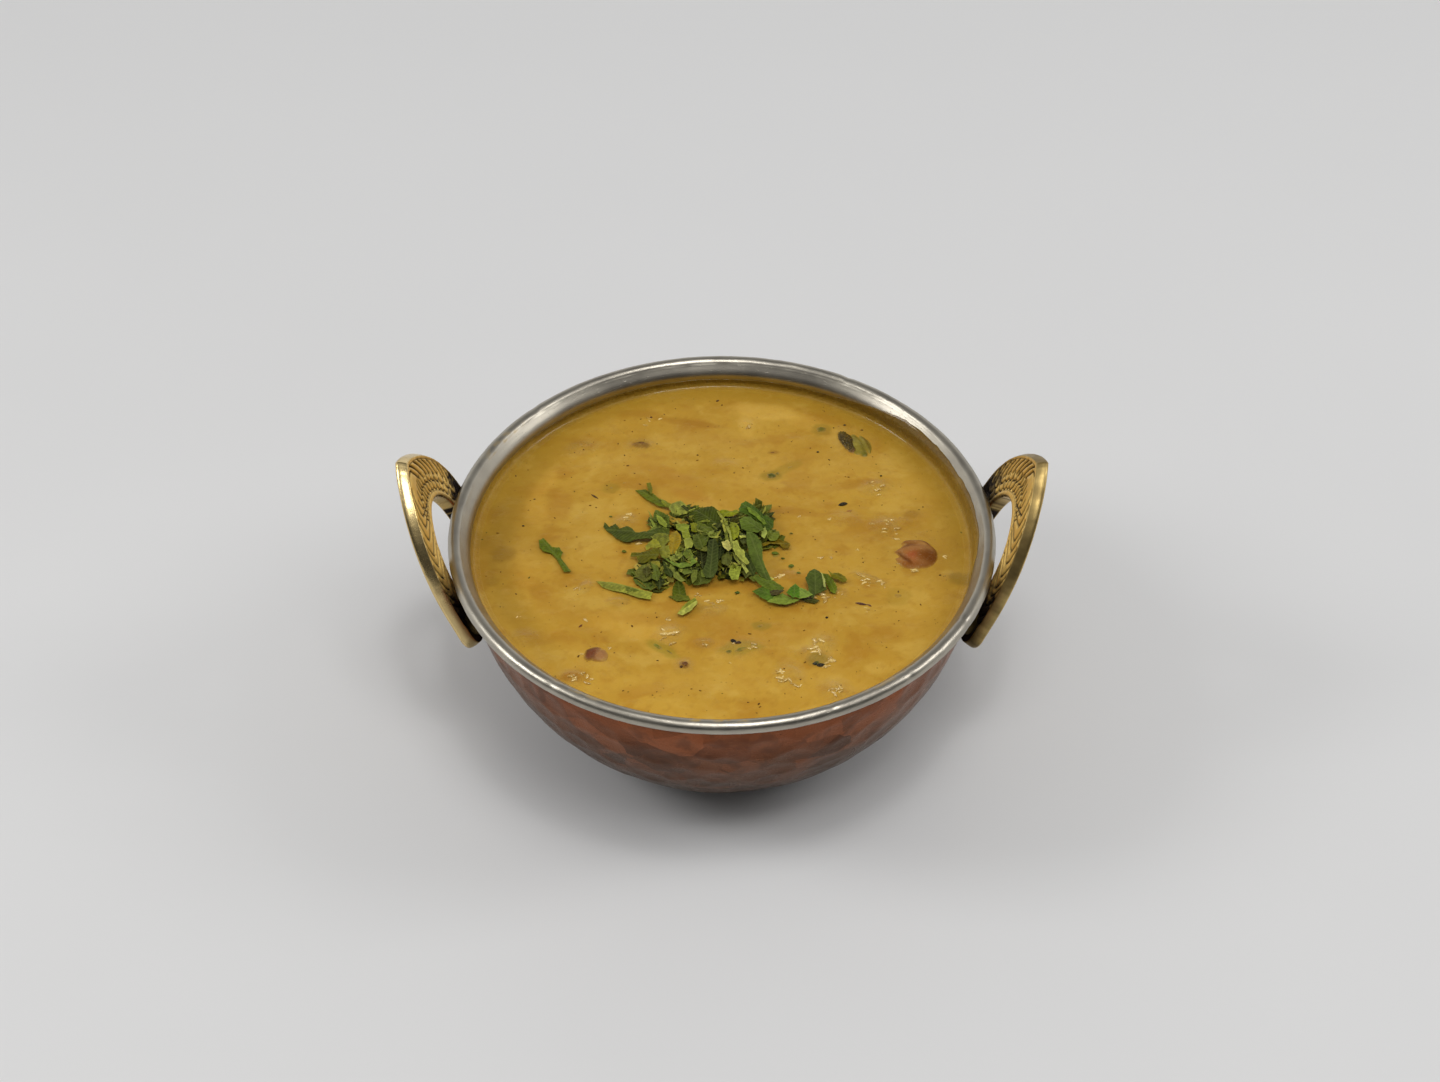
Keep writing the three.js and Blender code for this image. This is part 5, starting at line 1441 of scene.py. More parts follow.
def leaf(pile, points, wide, colour, roll=0.0, twist=0.0, fold=0.25, ruffle=0.25, teeth=0.0, pitch=1.6, ends=(0.35, 0.35), skew=0.0,
         rib=0.0, seed=0, rows=None, cols=9, thick=0.14, vary=0.25, back=None):
    """A piece of leaf along a path of (x, y, height over the korma). wide is the
    half-width; roll turns it about its path in degrees, twist adds along it."""
    r = np.random.RandomState(seed)
    pts = np.array([(x, y, sauce_height(np.array([x]), np.array([y]))[0] + h) for x, y, h in points])
    length = np.linalg.norm(np.diff(pts, axis=0), axis=1).sum()
    rows = rows or int(np.clip(length / 0.42, 7, 34))
    c, length = spline(pts, rows)
    s = np.linspace(0, 1, rows)
    T = np.gradient(c, axis=0)
    T /= np.linalg.norm(T, axis=1)[:, None]
    S = np.cross([0, 0, 1.0], T)
    S /= np.maximum(np.linalg.norm(S, axis=1), 1e-6)[:, None]
    Nn = np.cross(T, S)
    a = np.radians(roll + twist * (s - 0.5))
    S2 = S * np.cos(a)[:, None] + Nn * np.sin(a)[:, None]
    N2 = np.cross(T, S2)
    base = np.ones(rows)
    base *= ends[0] + (1 - ends[0]) * smooth(0, 0.28, s)
    base *= ends[1] + (1 - ends[1]) * smooth(1, 0.72, s)
    k = length * s / pitch
    off = r.uniform(0, 1, 2)
    wl = wide * base * (1 - teeth * 2 * np.abs((k + off[0]) % 1 - 0.5) + 0.22 * N_LEAF(k * 0.6, 0 * k, seed * 3.1))
    wr = wide * base * (1 - teeth * 2 * np.abs((k + off[1]) % 1 - 0.5) + 0.22 * N_LEAF(k * 0.6, 0 * k, seed * 3.1 + 50))
    w = np.linspace(-1, 1, cols)
    W = np.where(w[None, :] < 0, wl[:, None], wr[:, None]) * w[None, :]
    along = (length * s)[:, None] + skew * W
    up = fold * np.abs(W) + ruffle * N_LEAF(along / 1.3, W / 1.1, seed * 1.7) * (0.4 + np.abs(w))[None, :]
    up = up + ruffle * 0.5 * N_LEAF(along / 0.6, W / 0.6, seed * 2.3)
    mid = c[:, None, :] + S2[:, None, :] * W[..., None] + T[:, None, :] * (skew * W)[..., None]
    # keep out of the sauce, apart from the lowest edge
    P = mid + N2[:, None, :] * up[..., None]
    ground = sauce_height(P[..., 0].ravel(), P[..., 1].ravel()).reshape(rows, cols)
    P[..., 2] = np.maximum(P[..., 2], ground + 0.06)
    half = thick / 2 + 0 * w[None, :]
    top = (P + N2[:, None, :] * half[..., None]).reshape(-1, 3)
    bottom = (P - N2[:, None, :] * half[..., None]).reshape(-1, 3)
    n = rows * cols
    idx = np.arange(n).reshape(rows, cols)
    loop = np.concatenate([idx[0, :-1], idx[:-1, -1], idx[-1, :0:-1], idx[:0:-1, 0]])
    # the cut edge has its own points, so that it stays crisp
    v = np.concatenate([top, bottom, top[loop], bottom[loop]])
    q = [grid_faces(rows, cols), grid_faces(rows, cols, base=n, flip=True)]
    a0 = 2 * n + np.arange(len(loop))
    a1 = 2 * n + (np.arange(len(loop)) + 1) % len(loop)
    q.append(np.stack([a0, a0 + len(loop), a1 + len(loop), a1], axis=1))
    Q = np.concatenate(q)
    Q, _ = outward(v, Q, np.zeros((0, 3), int))
    colour = np.asarray(colour) * (1 + vary * r.normal(0, 0.5)) * np.array([1 + 0.10 * r.normal(), 1, 1 + 0.15 * r.normal()]).clip(0.7, 1.3)
    shade = 1 + 0.30 * N_LEAF.fbm(along / 1.6, W / 1.2, seed * 0.7, 3)
    col = colour[None, :] * shade.reshape(-1, 1)
    if back is None:
        under = mix(col, lin(120, 130, 74), np.full(len(col), 0.35))
    else:
        under = np.tile(back, (len(col), 1)) * shade.reshape(-1, 1)
    local = np.stack([along.ravel(), W.ravel(), np.full(n, rib)], axis=1)
    pile.add(v, Q, (), np.concatenate([col, under, col[loop], under[loop]]).clip(0.001, 1), np.concatenate([local, local, local[loop], local[loop]]))


def stem(pile, points, radius, colour, seed=0, hollow=False):
    r = np.random.RandomState(seed)
    pts = np.array([(x, y, sauce_height(np.array([x]), np.array([y]))[0] + h) for x, y, h in points])
    rows = int(np.clip(np.linalg.norm(np.diff(pts, axis=0), axis=1).sum() / 0.5, 6, 30))
    c, length = spline(pts, rows)
    T = np.gradient(c, axis=0)
    T /= np.linalg.norm(T, axis=1)[:, None]
    S = np.cross([0, 0, 1.0], T)
    S /= np.linalg.norm(S, axis=1)[:, None]
    Nn = np.cross(T, S)
    k = np.linspace(0, 2 * math.pi, 12, endpoint=False)
    rad = radius * (1 + 0.10 * np.cos(5 * k)[None, :] + 0.08 * N_LEAF(np.arange(rows)[:, None] * 0.4, 0 * k[None, :], seed))
    v = (c[:, None, :] + S[:, None, :] * (rad * np.cos(k))[..., None] + Nn[:, None, :] * (rad * np.sin(k))[..., None]).reshape(-1, 3)
    v = np.concatenate([v, [c[0] - T[0] * 0.05, c[-1] + T[-1] * 0.05]])
    q = grid_faces(rows, 12, wrap=True)
    t = np.concatenate([fan(rows * 12, np.arange(12), flip=True), fan(rows * 12 + 1, (rows - 1) * 12 + np.arange(12))])
    q, t = outward(v, q, t)
    col = np.tile(colour, (len(v), 1)) * (1 + 0.2 * N_LEAF(v[:, 0], v[:, 1], seed))[:, None]
    local = np.concatenate([np.stack([np.repeat(np.linspace(0, length, rows), 12), np.tile(k * radius * 1.2, rows), np.ones(rows * 12)], axis=1), [[0, 0, 1], [length, 0, 1]]])
    pile.add(v, q, t, col, local)


def shard(pile, points, colour, rib=0, bulge=0.25, ruffle=0.25, seed=0, thick=0.13, step=0.5):
    """A cut piece of leaf with this outline of (x, y, height over the korma)."""
    r = np.random.RandomState(seed + 300)
    pts = np.array(points, float)
    wide = np.linalg.svd(pts[:, :2] - pts[:, :2].mean(0), compute_uv=False)[1] / math.sqrt(len(pts)) * 2
    step = float(np.clip(wide * 0.42, 0.26, step))
    ring = []
    for a, b in zip(pts, np.roll(pts, -1, axis=0)):
        n = max(1, int(round(math.hypot(*(b - a)[:2]) / step)))
        ring += [a + (b - a) * k / n for k in range(n)]
    ring = np.array(ring)
    c = ring.mean(0)
    tilt, *_ = np.linalg.lstsq(np.column_stack([ring[:, :2], np.ones(len(ring))]), ring[:, 2], rcond=None)
    out = ring[:, :2] - c[:2]
    out /= np.maximum(np.hypot(*out.T), 0.3)[:, None]
    saw = np.where(np.arange(len(ring)) % 2 == 0, 1.0, -1.0) * r.uniform(0.3, 1.0, len(ring))
    ring[:, :2] += out * min(1.0, wide) * (0.07 * saw + 0.16 * N_LEAF(ring[:, 0] * 1.5, ring[:, 1] * 1.5, seed * 1.31) + 0.03 * r.normal(size=len(ring)))[:, None]
    R = ring[:, :2]
    g = step * 1.05
    lo, hi = R.min(0), R.max(0)
    gx, gy = np.meshgrid(np.arange(lo[0], hi[0], g), np.arange(lo[1], hi[1], g * 0.87))
    gx = gx + (np.arange(len(gx)) % 2)[:, None] * g / 2
    P = np.stack([gx.ravel(), gy.ravel()], axis=1) + r.uniform(-0.12, 0.12, (gx.size, 2)) * g

    def measure(P):
        A, B = R[None], np.roll(R, -1, axis=0)[None]
        Q = P[:, None]
        AB = B - A
        k = np.clip(((Q - A) * AB).sum(-1) / np.maximum((AB ** 2).sum(-1), 1e-9), 0, 1)
        d = np.hypot(*np.moveaxis(Q - A - AB * k[..., None], -1, 0)).min(1)
        cross = (A[..., 1] > Q[..., 1]) != (B[..., 1] > Q[..., 1])
        with np.errstate(divide="ignore", invalid="ignore"):
            xi = A[..., 0] + (Q[..., 1] - A[..., 1]) * AB[..., 0] / AB[..., 1]
        return d, (cross & (Q[..., 0] < xi)).sum(1) % 2 == 1

    if len(P):
        d, inside = measure(P)
        P = P[inside & (d > 0.45 * g)]
    every = np.concatenate([R, P])
    m = len(R)
    got = delaunay_2d_cdt([Vector(e) for e in every], [(i, (i + 1) % m) for i in range(m)], [], 1, 1e-5)
    V = np.array([tuple(e) for e in got[0]])
    T = np.array([tuple(f) for f in got[2] if len(f) == 3])
    if not len(T):
        return
    directed = set()
    for f in T:
        for a, b in ((f[0], f[1]), (f[1], f[2]), (f[2], f[0])):
            directed.add((int(a), int(b)))
    loop = sorted(e for e in directed if (e[1], e[0]) not in directed)
    d, _ = measure(V)
    u = np.linalg.svd(R - c[:2], full_matrices=False)[2]
    A, W = (V - c[:2]) @ u[0], (V - c[:2]) @ u[1]
    h = V @ tilt[:2] + tilt[2] + bulge * (1 - np.exp(-d / max(0.35 * wide, 0.3)))
    h = h + ruffle * (1.5 * N_LEAF(A / 1.5 + seed, W / 1.1, seed * 0.37) + 1.1 * N_LEAF(A / 0.8, W / 0.7, seed * 0.61))
    if rib:
        h = h + 0.07 * np.cos(W * 2 * math.pi / 0.62)
    z = np.maximum(FOOD_LEVEL + h, sauce_height(V[:, 0], V[:, 1]) + 0.04 + thick / 2)
    base = np.asarray(colour) * np.array([1 + 0.05 * r.normal(), 1.0, 1 + 0.10 * r.normal()]).clip(0.8, 1.2)
    base = base * np.array([0.98, 0.90, 0.42])
    shade = 1 + 0.60 * N_LEAF.fbm(A / 1.7 + seed, W / 1.0, seed * 0.7, 3) + 0.16 * r.normal() * A / max(np.abs(A).max(), 0.5)
    col = base[None] * shade[:, None]
    if rib:
        col = col * (1 + 0.22 * np.cos(W * 2 * math.pi / 0.62))[:, None]
    col = mix(col, np.clip(base * 1.6 + np.array([0.02, 0.022, 0.006]), 0, 1), 0.40 * smooth(0.26, 0.05, d))
    under = np.tile(base * 0.8, (len(V), 1))
    local = np.stack([A, W, np.full(len(A), float(rib))], axis=1)
    top = np.column_stack([V, z])
    layers_mid(pile, top, thick, T, loop, col, under, local)


def layers_mid(pile, mid, thick, tris, loop, colour, under, local):
    """A thin sheet from its middle surface, with crisp cut edges. loop holds the
    boundary edges (a, b)."""
    lift = np.array([0, 0, thick / 2])
    n = len(mid)
    a, b = np.asarray(loop).T
    m = len(a)
    v = np.concatenate([mid + lift, mid - lift, mid[a] + lift, mid[b] + lift, mid[b] - lift, mid[a] - lift])
    k = 2 * n + np.arange(m)
    q = np.stack([k, k + 3 * m, k + 2 * m, k + m], axis=1)
    col = np.concatenate([colour, under, colour[a], colour[b], under[b], under[a]])
    loc = np.concatenate([local, local, local[a], local[b], local[b], local[a]])
    pile.add(v, q, np.concatenate([tris, tris[:, ::-1] + n]), col.clip(0.001, 1), loc)


def chip(pile, x, y, h, size, colour, seed, tilt=30.0, rib=0, thick=0.12):
    """A small chopped piece, angular and folded, lying any way up."""
    r = np.random.RandomState(seed)
    corners = r.randint(3, 7)
    ang = (np.arange(corners) + r.uniform(-0.3, 0.3, corners)) / corners * 2 * math.pi
    rad = size * r.uniform(0.7, 1.15, corners)
    aspect = r.uniform(1.5, 2.4) if rib else r.uniform(1.0, 1.6)
    poly = np.stack([np.cos(ang) * rad * aspect, np.sin(ang) * rad / aspect], axis=1)
    ring = []
    for a, b in zip(poly, np.roll(poly, -1, axis=0)):
        m = max(2, int(round(math.hypot(*(b - a)) / 0.75)))
        ring += [a + (b - a) * k / m for k in range(m)]
    ring = np.array(ring)
    n = len(ring)
    ks = (1.0, 0.66, 0.33)
    P = np.concatenate([ring * k for k in ks] + [np.zeros((1, 2))])
    fold, ruffle = r.normal(0, 0.45), r.uniform(0.1, 0.45)
    A, W = P.T
    L = fold * np.abs(W) + ruffle * N_LEAF(A / 1.2 + seed, W / 1.0, seed * 0.31)
    if rib:
        L = L + 0.06 * np.cos(W * 2 * math.pi / 0.6)
    q = [grid_faces(3, n, wrap=True)]
    t = fan(3 * n, 2 * n + np.arange(n))
    quads = np.concatenate(q)
    tris = np.concatenate([quads[:, [0, 1, 2]], quads[:, [0, 2, 3]], t])
    # all faces look up
    p3 = np.column_stack([P, L])
    e1, e2 = p3[tris[:, 1]] - p3[tris[:, 0]], p3[tris[:, 2]] - p3[tris[:, 0]]
    down = np.cross(e1, e2)[:, 2] < 0
    tris[down] = tris[down][:, ::-1]
    loop = np.stack([np.arange(n), (np.arange(n) + 1) % n], axis=1)
    lift = np.array([0, 0, thick / 2])
    a, b = loop.T
    total = 3 * n + 1
    v = np.concatenate([p3 + lift, p3 - lift, p3[a] + lift, p3[b] + lift, p3[b] - lift, p3[a] - lift])
    k = 2 * total + np.arange(n)
    side = np.stack([k, k + 3 * n, k + 2 * n, k + n], axis=1)
    turn, lean, way = r.uniform(0, 2 * math.pi), math.radians(r.normal(0, tilt)), r.uniform(0, 2 * math.pi)
    v = turn_z(v, math.degrees(turn))
    axis = np.array([math.cos(way), math.sin(way), 0.0])
    c, s = math.cos(lean), math.sin(lean)
    v = v * c + np.cross(axis, v) * s + np.outer(v @ axis, axis) * (1 - c)
    v += [x, y, FOOD_LEVEL + h]
    v[:, 2] = np.maximum(v[:, 2], sauce_height(v[:, 0], v[:, 1]) + 0.02 + 0.02 * (np.arange(len(v)) < total))
    base = np.asarray(colour) * np.array([1 + 0.07 * r.normal(), 1.0, 1 + 0.12 * r.normal()]).clip(0.75, 1.25) * (1 + 0.15 * r.normal())
    base = base * np.array([0.98, 0.90, 0.42])
    col = base[None] * (1 + 0.55 * N_LEAF.fbm(A / 1.3 + seed, W / 1.1, seed * 0.7, 2))[:, None]
    col[:n] = col[:n] * 1.25 + 0.008
    under = np.tile(base * 0.8, (total, 1))
    local = np.stack([A, W, np.full(total, float(rib))], axis=1)
    pile.add(v, side, np.concatenate([tris, tris[:, ::-1] + total]), np.concatenate([col, under, col[a], col[b], under[b], under[a]]).clip(0.001, 1),
             np.concatenate([local, local, local[a], local[b], local[b], local[a]]))


# cut pieces that show: colour, ribbed or not, bulge, ruffle, outline of (x, y, height)
SHARDS = [
    ((96, 98, 24), 0, 0.10, 0.10, [(-20.6, 23.3, 1.2), (-19.5, 23.7, 1.2), (-18.9, 20.8, 1.2), (-19.2, 18.8, 1.2), (-20.0, 20.0, 1.2)]),  # forked tip
    ((88, 100, 24), 0, 0.25, 0.20, [(-23.6, 21.4, 0.3), (-20.9, 21.5, 0.6), (-18.9, 19.6, 0.8), (-17.5, 17.8, 1.0), (-16.4, 16.5, 1.1), (-15.0, 15.5, 1.3), (-13.9, 14.2, 1.4), (-15.5, 13.6, 1.2), (-17.7, 14.6, 1.0), (-19.1, 16.0, 0.8), (-20.5, 17.4, 0.7), (-21.6, 18.7, 0.5)]),  # upper strand
    ((112, 118, 46), 0, 0.20, 0.20, [(-16.7, 16.9, 1.4), (-15.3, 15.9, 1.6), (-13.6, 14.1, 1.8), (-13.9, 12.6, 1.7), (-15.3, 13.5, 1.6), (-16.4, 15.3, 1.5)]),  # strand light
    ((136, 144, 84), 1, 0.30, 0.25, [(-14.4, 12.9, 1.8), (-13.6, 14.3, 2.0), (-11.2, 14.9, 2.5), (-9.8, 13.0, 2.8), (-9.0, 10.8, 3.0), (-9.2, 9.3, 2.9), (-12.2, 9.2, 2.3), (-13.6, 10.7, 2.0)]),  # pale ribbed top
    ((104, 112, 52), 1, 0.10, 0.20, [(-13.6, 11.4, 1.4), (-11.2, 10.8, 1.9), (-9.0, 10.7, 2.4), (-8.4, 9.3, 2.5), (-11.1, 8.8, 1.9), (-13.3, 9.7, 1.4)]),  # pale ribbed under
    ((76, 90, 30), 0, -0.10, 0.20, [(-17.9, 11.9, 2.0), (-16.0, 10.4, 2.3), (-14.1, 8.5, 2.5), (-14.0, 4.0, 2.7), (-16.2, 5.1, 2.4), (-18.4, 7.4, 2.1), (-18.4, 9.9, 2.0)]),  # square leaf
    ((132, 146, 70), 1, 0.15, 0.10, [(-17.6, 9.1, 2.8), (-16.2, 7.7, 2.9), (-14.6, 5.1, 3.1), (-14.8, 3.6, 3.0), (-16.4, 5.0, 2.9), (-17.5, 7.1, 2.8)]),  # square strip
    ((158, 132, 66), 0, 0.30, 0.30, [(-14.4, 9.8, 1.7), (-12.2, 8.3, 2.0), (-10.0, 7.7, 2.2), (-8.9, 6.0, 2.3), (-11.6, 5.5, 2.0), (-14.1, 6.2, 1.8)]),  # tan piece
    ((128, 140, 62), 0, 0.30, 0.20, [(-12.4, 5.2, 2.7), (-10.0, 5.3, 2.9), (-8.7, 4.3, 3.1), (-8.9, 2.4, 3.1), (-10.2, 1.8, 2.9), (-11.9, 3.2, 2.7)]),  # light chip a
    ((134, 144, 70), 0, 0.30, 0.20, [(-10.8, 2.1, 3.0), (-8.9, 2.3, 3.2), (-8.3, -0.1, 3.2), (-9.4, -1.5, 3.1), (-10.5, 0.1, 3.0)]),  # light chip b
    ((152, 128, 36), 0, 0.60, 0.15, [(-14.2, -0.5, 2.8), (-13.4, 1.4, 2.9), (-12.1, 2.4, 3.1), (-11.0, 0.3, 3.2), (-10.7, -1.7, 3.2), (-11.5, -4.3, 3.1), (-12.5, -6.4, 3.0), (-13.6, -6.7, 2.9), (-14.4, -3.9, 2.8)]),  # olive petal
    ((72, 70, 8), 0, 0.10, 0.20, [(-11.0, 0.6, 2.5), (-9.9, -1.1, 2.7), (-9.9, -3.8, 2.7), (-11.0, -5.2, 2.5), (-11.7, -7.4, 2.5), (-13.3, -7.6, 2.3), (-12.5, -5.8, 2.4), (-11.2, -3.2, 2.5)]),  # petal shade
    ((66, 78, 38), 0, 0.30, 0.25, [(-31.6, 8.5, 0.3), (-30.2, 6.7, 0.5), (-28.6, 7.7, 0.7), (-27.5, 5.6, 0.8), (-25.3, 6.2, 1.0), (-24.0, 5.2, 1.2), (-23.1, 3.5, 1.3), (-20.2, 3.6, 1.6), (-18.3, 4.5, 1.8), (-15.9, 5.4, 2.1), (-14.0, 4.0, 2.3), (-14.0, 1.7, 2.3), (-16.4, 1.2, 2.0), (-19.0, 0.7, 1.7), (-21.7, 1.0, 1.4), (-23.6, 0.9, 1.2), (-24.6, -0.2, 1.1), (-26.2, 0.4, 0.9), (-28.2, 1.8, 0.7), (-29.3, 3.5, 0.6), (-31.0, 5.3, 0.4), (-31.8, 6.9, 0.3)]),  # frond
    ((98, 112, 60), 0, 0.20, 0.30, [(-19.6, 3.9, 1.7), (-17.8, 5.2, 1.9), (-16.2, 7.0, 2.1), (-14.8, 5.7, 2.2), (-14.3, 3.3, 2.3), (-16.4, 4.3, 2.0), (-18.3, 3.3, 1.8)]),  # frond pale edge
    ((88, 88, 4), 0, 0.25, 0.12, [(-24.0, -4.3, 1.3), (-21.6, -5.0, 2.0), (-19.4, -4.9, 2.6), (-17.8, -4.2, 3.0), (-16.5, -5.4, 3.4), (-16.7, -7.6, 3.3), (-17.5, -8.9, 3.1), (-18.8, -8.1, 2.7), (-19.3, -9.1, 2.6), (-20.6, -9.4, 2.2), (-22.0, -8.7, 1.8), (-22.6, -6.2, 1.7), (-24.2, -5.7, 1.2)]),  # olive leaf
    ((134, 138, 62), 0, 0.20, 0.40, [(-20.3, -2.4, 1.8), (-19.5, -1.1, 2.0), (-18.2, -0.2, 2.3), (-16.8, -1.3, 2.6), (-16.0, -3.5, 2.7), (-17.3, -3.9, 2.4), (-18.9, -3.1, 2.1), (-20.0, -4.1, 1.8)]),  # olive leaf light
    ((106, 114, 48), 1, 0.20, 0.40, [(-19.0, 1.3, 1.9), (-16.9, 2.0, 2.4), (-14.2, 1.0, 3.0), (-13.9, -1.8, 3.0), (-15.5, -3.4, 2.6), (-17.7, -1.3, 2.2)]),  # mid left a
    ((126, 126, 60), 0, 0.20, 0.35, [(-16.5, -3.2, 2.5), (-14.1, -3.4, 3.0), (-13.6, -6.2, 3.2), (-13.8, -8.1, 3.1), (-15.9, -7.6, 2.6), (-16.8, -5.1, 2.4)]),  # mid left b
    ((140, 132, 62), 0, 0.30, 0.30, [(-19.9, -7.8, 1.4), (-18.3, -7.4, 1.8), (-16.5, -8.3, 2.2), (-16.1, -11.0, 2.2), (-18.0, -10.9, 1.8), (-19.9, -9.4, 1.4)]),  # under olive
    ((92, 98, 50), 0, 0.50, 0.50, [(-23.0, -12.1, 1.5), (-21.7, -10.0, 1.6), (-19.9, -9.1, 1.8), (-18.2, -10.8, 2.0), (-17.4, -13.1, 2.1), (-18.7, -15.2, 2.0), (-20.5, -15.8, 1.8), (-22.4, -14.4, 1.5)]),  # curl a
    ((60, 60, 26), 0, 0.10, 0.30, [(-20.8, -12.0, 2.5), (-19.3, -11.0, 2.7), (-18.4, -13.4, 2.8), (-19.7, -15.1, 2.6), (-20.5, -13.9, 2.5)]),  # curl a dark
    ((84, 98, 44), 0, 0.40, 0.40, [(-18.8, -9.7, 2.5), (-16.9, -10.7, 2.7), (-16.1, -13.8, 2.8), (-16.8, -16.7, 2.7), (-18.4, -15.4, 2.5), (-17.9, -12.8, 2.6)]),  # curl b
    ((36, 44, 20), 0, 0.10, 0.30, [(-17.2, -11.4, 1.5), (-15.6, -12.3, 1.7), (-15.0, -15.8, 1.7), (-16.3, -18.6, 1.6), (-17.4, -16.2, 1.5)]),  # curl c dark
    ((84, 100, 48), 1, 0.35, 0.40, [(-23.2, -14.1, 0.9), (-21.1, -13.8, 0.9), (-18.2, -15.3, 0.9), (-16.8, -17.5, 0.9), (-18.6, -18.3, 0.9), (-21.0, -17.1, 0.9), (-22.6, -15.6, 0.9)]),  # curl d
    ((62, 68, 32), 0, 0.20, 0.20, [(-18.4, -16.7, 0.5), (-16.6, -17.9, 0.5), (-14.7, -17.1, 0.5), (-15.8, -18.6, 0.5), (-17.9, -18.6, 0.5)]),  # curl e
    ((112, 132, 66), 1, 0.30, 0.30, [(-15.9, -7.4, 2.9), (-14.1, -8.8, 3.1), (-12.2, -10.6, 3.3), (-9.8, -10.5, 3.5), (-7.7, -8.8, 3.8), (-6.4, -10.5, 3.9), (-8.2, -12.2, 3.7), (-11.4, -12.2, 3.4), (-14.0, -9.9, 3.1)]),  # ridge a
    ((40, 54, 12), 0, 0.10, 0.30, [(-15.7, -8.3, 2.2), (-14.1, -9.6, 2.4), (-12.4, -12.5, 2.6), (-13.2, -15.0, 2.5), (-15.0, -13.3, 2.3)]),  # dark piece painted as the shade under the ridge
    ((112, 124, 70), 1, 0.30, 0.30, [(-14.1, -9.2, 2.4), (-12.7, -10.9, 2.5), (-10.8, -14.9, 2.7), (-9.2, -16.6, 2.9), (-10.5, -17.2, 2.8), (-12.4, -15.1, 2.5), (-14.0, -11.5, 2.4)]),  # ridge b
    ((98, 112, 52), 1, 0.20, 0.40, [(-10.2, -4.8, 3.3), (-8.3, -5.4, 3.5), (-7.5, -8.2, 3.6), (-8.5, -9.6, 3.5), (-10.1, -7.9, 3.3), (-10.9, -6.3, 3.2)]),  # ridge c
    ((92, 106, 56), 1, 0.20, 0.40, [(-11.4, -10.8, 2.4), (-8.2, -11.5, 2.8), (-7.2, -13.5, 2.9), (-9.8, -14.0, 2.6), (-11.4, -12.7, 2.4)]),  # ridge d
    ((116, 110, 60), 0, 0.40, 0.30, [(-15.1, -11.9, 1.3), (-13.5, -11.4, 1.5), (-12.2, -14.2, 1.7), (-12.7, -16.0, 1.6), (-14.2, -15.4, 1.4)]),  # stalk piece
    ((74, 82, 8), 0, 0.30, 0.15, [(-12.1, -15.3, 1.3), (-10.6, -15.0, 1.3), (-9.8, -16.8, 1.0), (-9.2, -19.7, 0.4), (-10.5, -20.3, 0.3), (-12.9, -19.7, 0.4), (-12.9, -17.5, 0.9)]),  # front leaf
    ((84, 94, 30), 0, 0.20, 0.30, [(-13.9, -20.1, 0.5), (-11.8, -19.3, 0.5), (-8.7, -20.1, 0.5), (-8.2, -21.6, 0.5), (-11.8, -21.9, 0.5)]),  # front leaf back
    ((146, 154, 84), 0, 0.30, 0.40, [(-10.2, -1.5, 3.4), (-8.3, -0.9, 3.6), (-7.3, -3.0, 3.8), (-8.0, -4.8, 3.7), (-9.6, -5.0, 3.5)]),  # pale mid chip
    ((110, 118, 52), 0, 0.30, 0.40, [(-11.8, -3.3, 2.9), (-9.9, -4.7, 3.2), (-10.1, -7.7, 3.1), (-11.7, -9.1, 2.9), (-12.8, -7.4, 2.8)]),  # mid chip
    ((58, 68, 8), 0, 0.50, 0.15, [(-9.0, 9.8, 3.1), (-7.4, 9.8, 3.5), (-5.8, 10.1, 3.9), (-3.9, 10.4, 4.4), (-2.3, 10.0, 4.8), (-0.9, 8.2, 5.0), (-0.4, 5.2, 4.8), (0.2, 2.2, 4.7), (-1.4, 1.1, 4.2), (-3.6, 1.7, 3.8), (-5.7, 3.2, 3.4), (-7.3, 5.8, 3.2), (-8.7, 7.6, 3.0)]),  # top dark leaf
    ((82, 94, 42), 0, 0.20, 0.40, [(-6.5, 5.0, 3.9), (-4.1, 3.0, 4.3), (-2.0, 0.7, 4.7), (-3.3, -1.0, 4.5), (-5.7, -0.2, 4.0), (-7.3, 2.0, 3.8)]),  # top dark leaf low
    ((108, 118, 12), 0, 0.20, 0.10, [(-8.4, 4.5, 3.7), (-7.1, 4.7, 3.8), (-6.0, 2.6, 3.9), (-6.5, 0.8, 3.9), (-8.1, 1.3, 3.7)]),  # yellow chip
    ((76, 88, 36), 0, 0.40, 0.40, [(-7.8, -0.2, 4.1), (-5.7, -0.5, 4.3), (-3.5, -1.9, 4.6), (-4.1, -4.9, 4.5), (-5.9, -6.3, 4.3), (-7.5, -4.5, 4.1)]),  # centre leaf a
    ((120, 132, 70), 1, 0.20, 0.30, [(-4.1, -0.0, 4.6), (-2.0, 0.5, 4.8), (-0.4, -0.5, 5.0), (-1.2, -1.9, 4.9), (-3.3, -2.0, 4.7)]),  # centre leaf pale
    ((54, 66, 34), 0, 0.40, 0.12, [(-3.5, -4.1, 5.5), (-1.7, -3.7, 5.9), (-0.9, -6.3, 5.4), (-0.9, -9.9, 4.5), (-1.1, -13.2, 3.6), (-2.2, -15.4, 2.9), (-4.0, -15.5, 2.6), (-5.1, -13.3, 3.0), (-4.0, -10.1, 4.0), (-3.8, -7.1, 4.7)]),  # long dark leaf
    ((26, 30, 8), 0, 0.00, 0.20, [(-6.7, -4.7, 2.8), (-4.3, -4.6, 3.1), (-4.0, -9.3, 3.1), (-5.1, -12.2, 3.0), (-6.4, -9.0, 2.9)]),  # gap a: a dark piece painted as the shade in a gap
    ((28, 38, 10), 0, 0.00, 0.20, [(-0.9, -1.6, 3.9), (1.0, -3.0, 4.1), (1.0, -6.1, 4.1), (-0.1, -8.7, 4.0), (-1.2, -10.1, 3.9), (-1.2, -5.5, 3.9)]),  # gap b: a dark piece painted as the shade in a gap
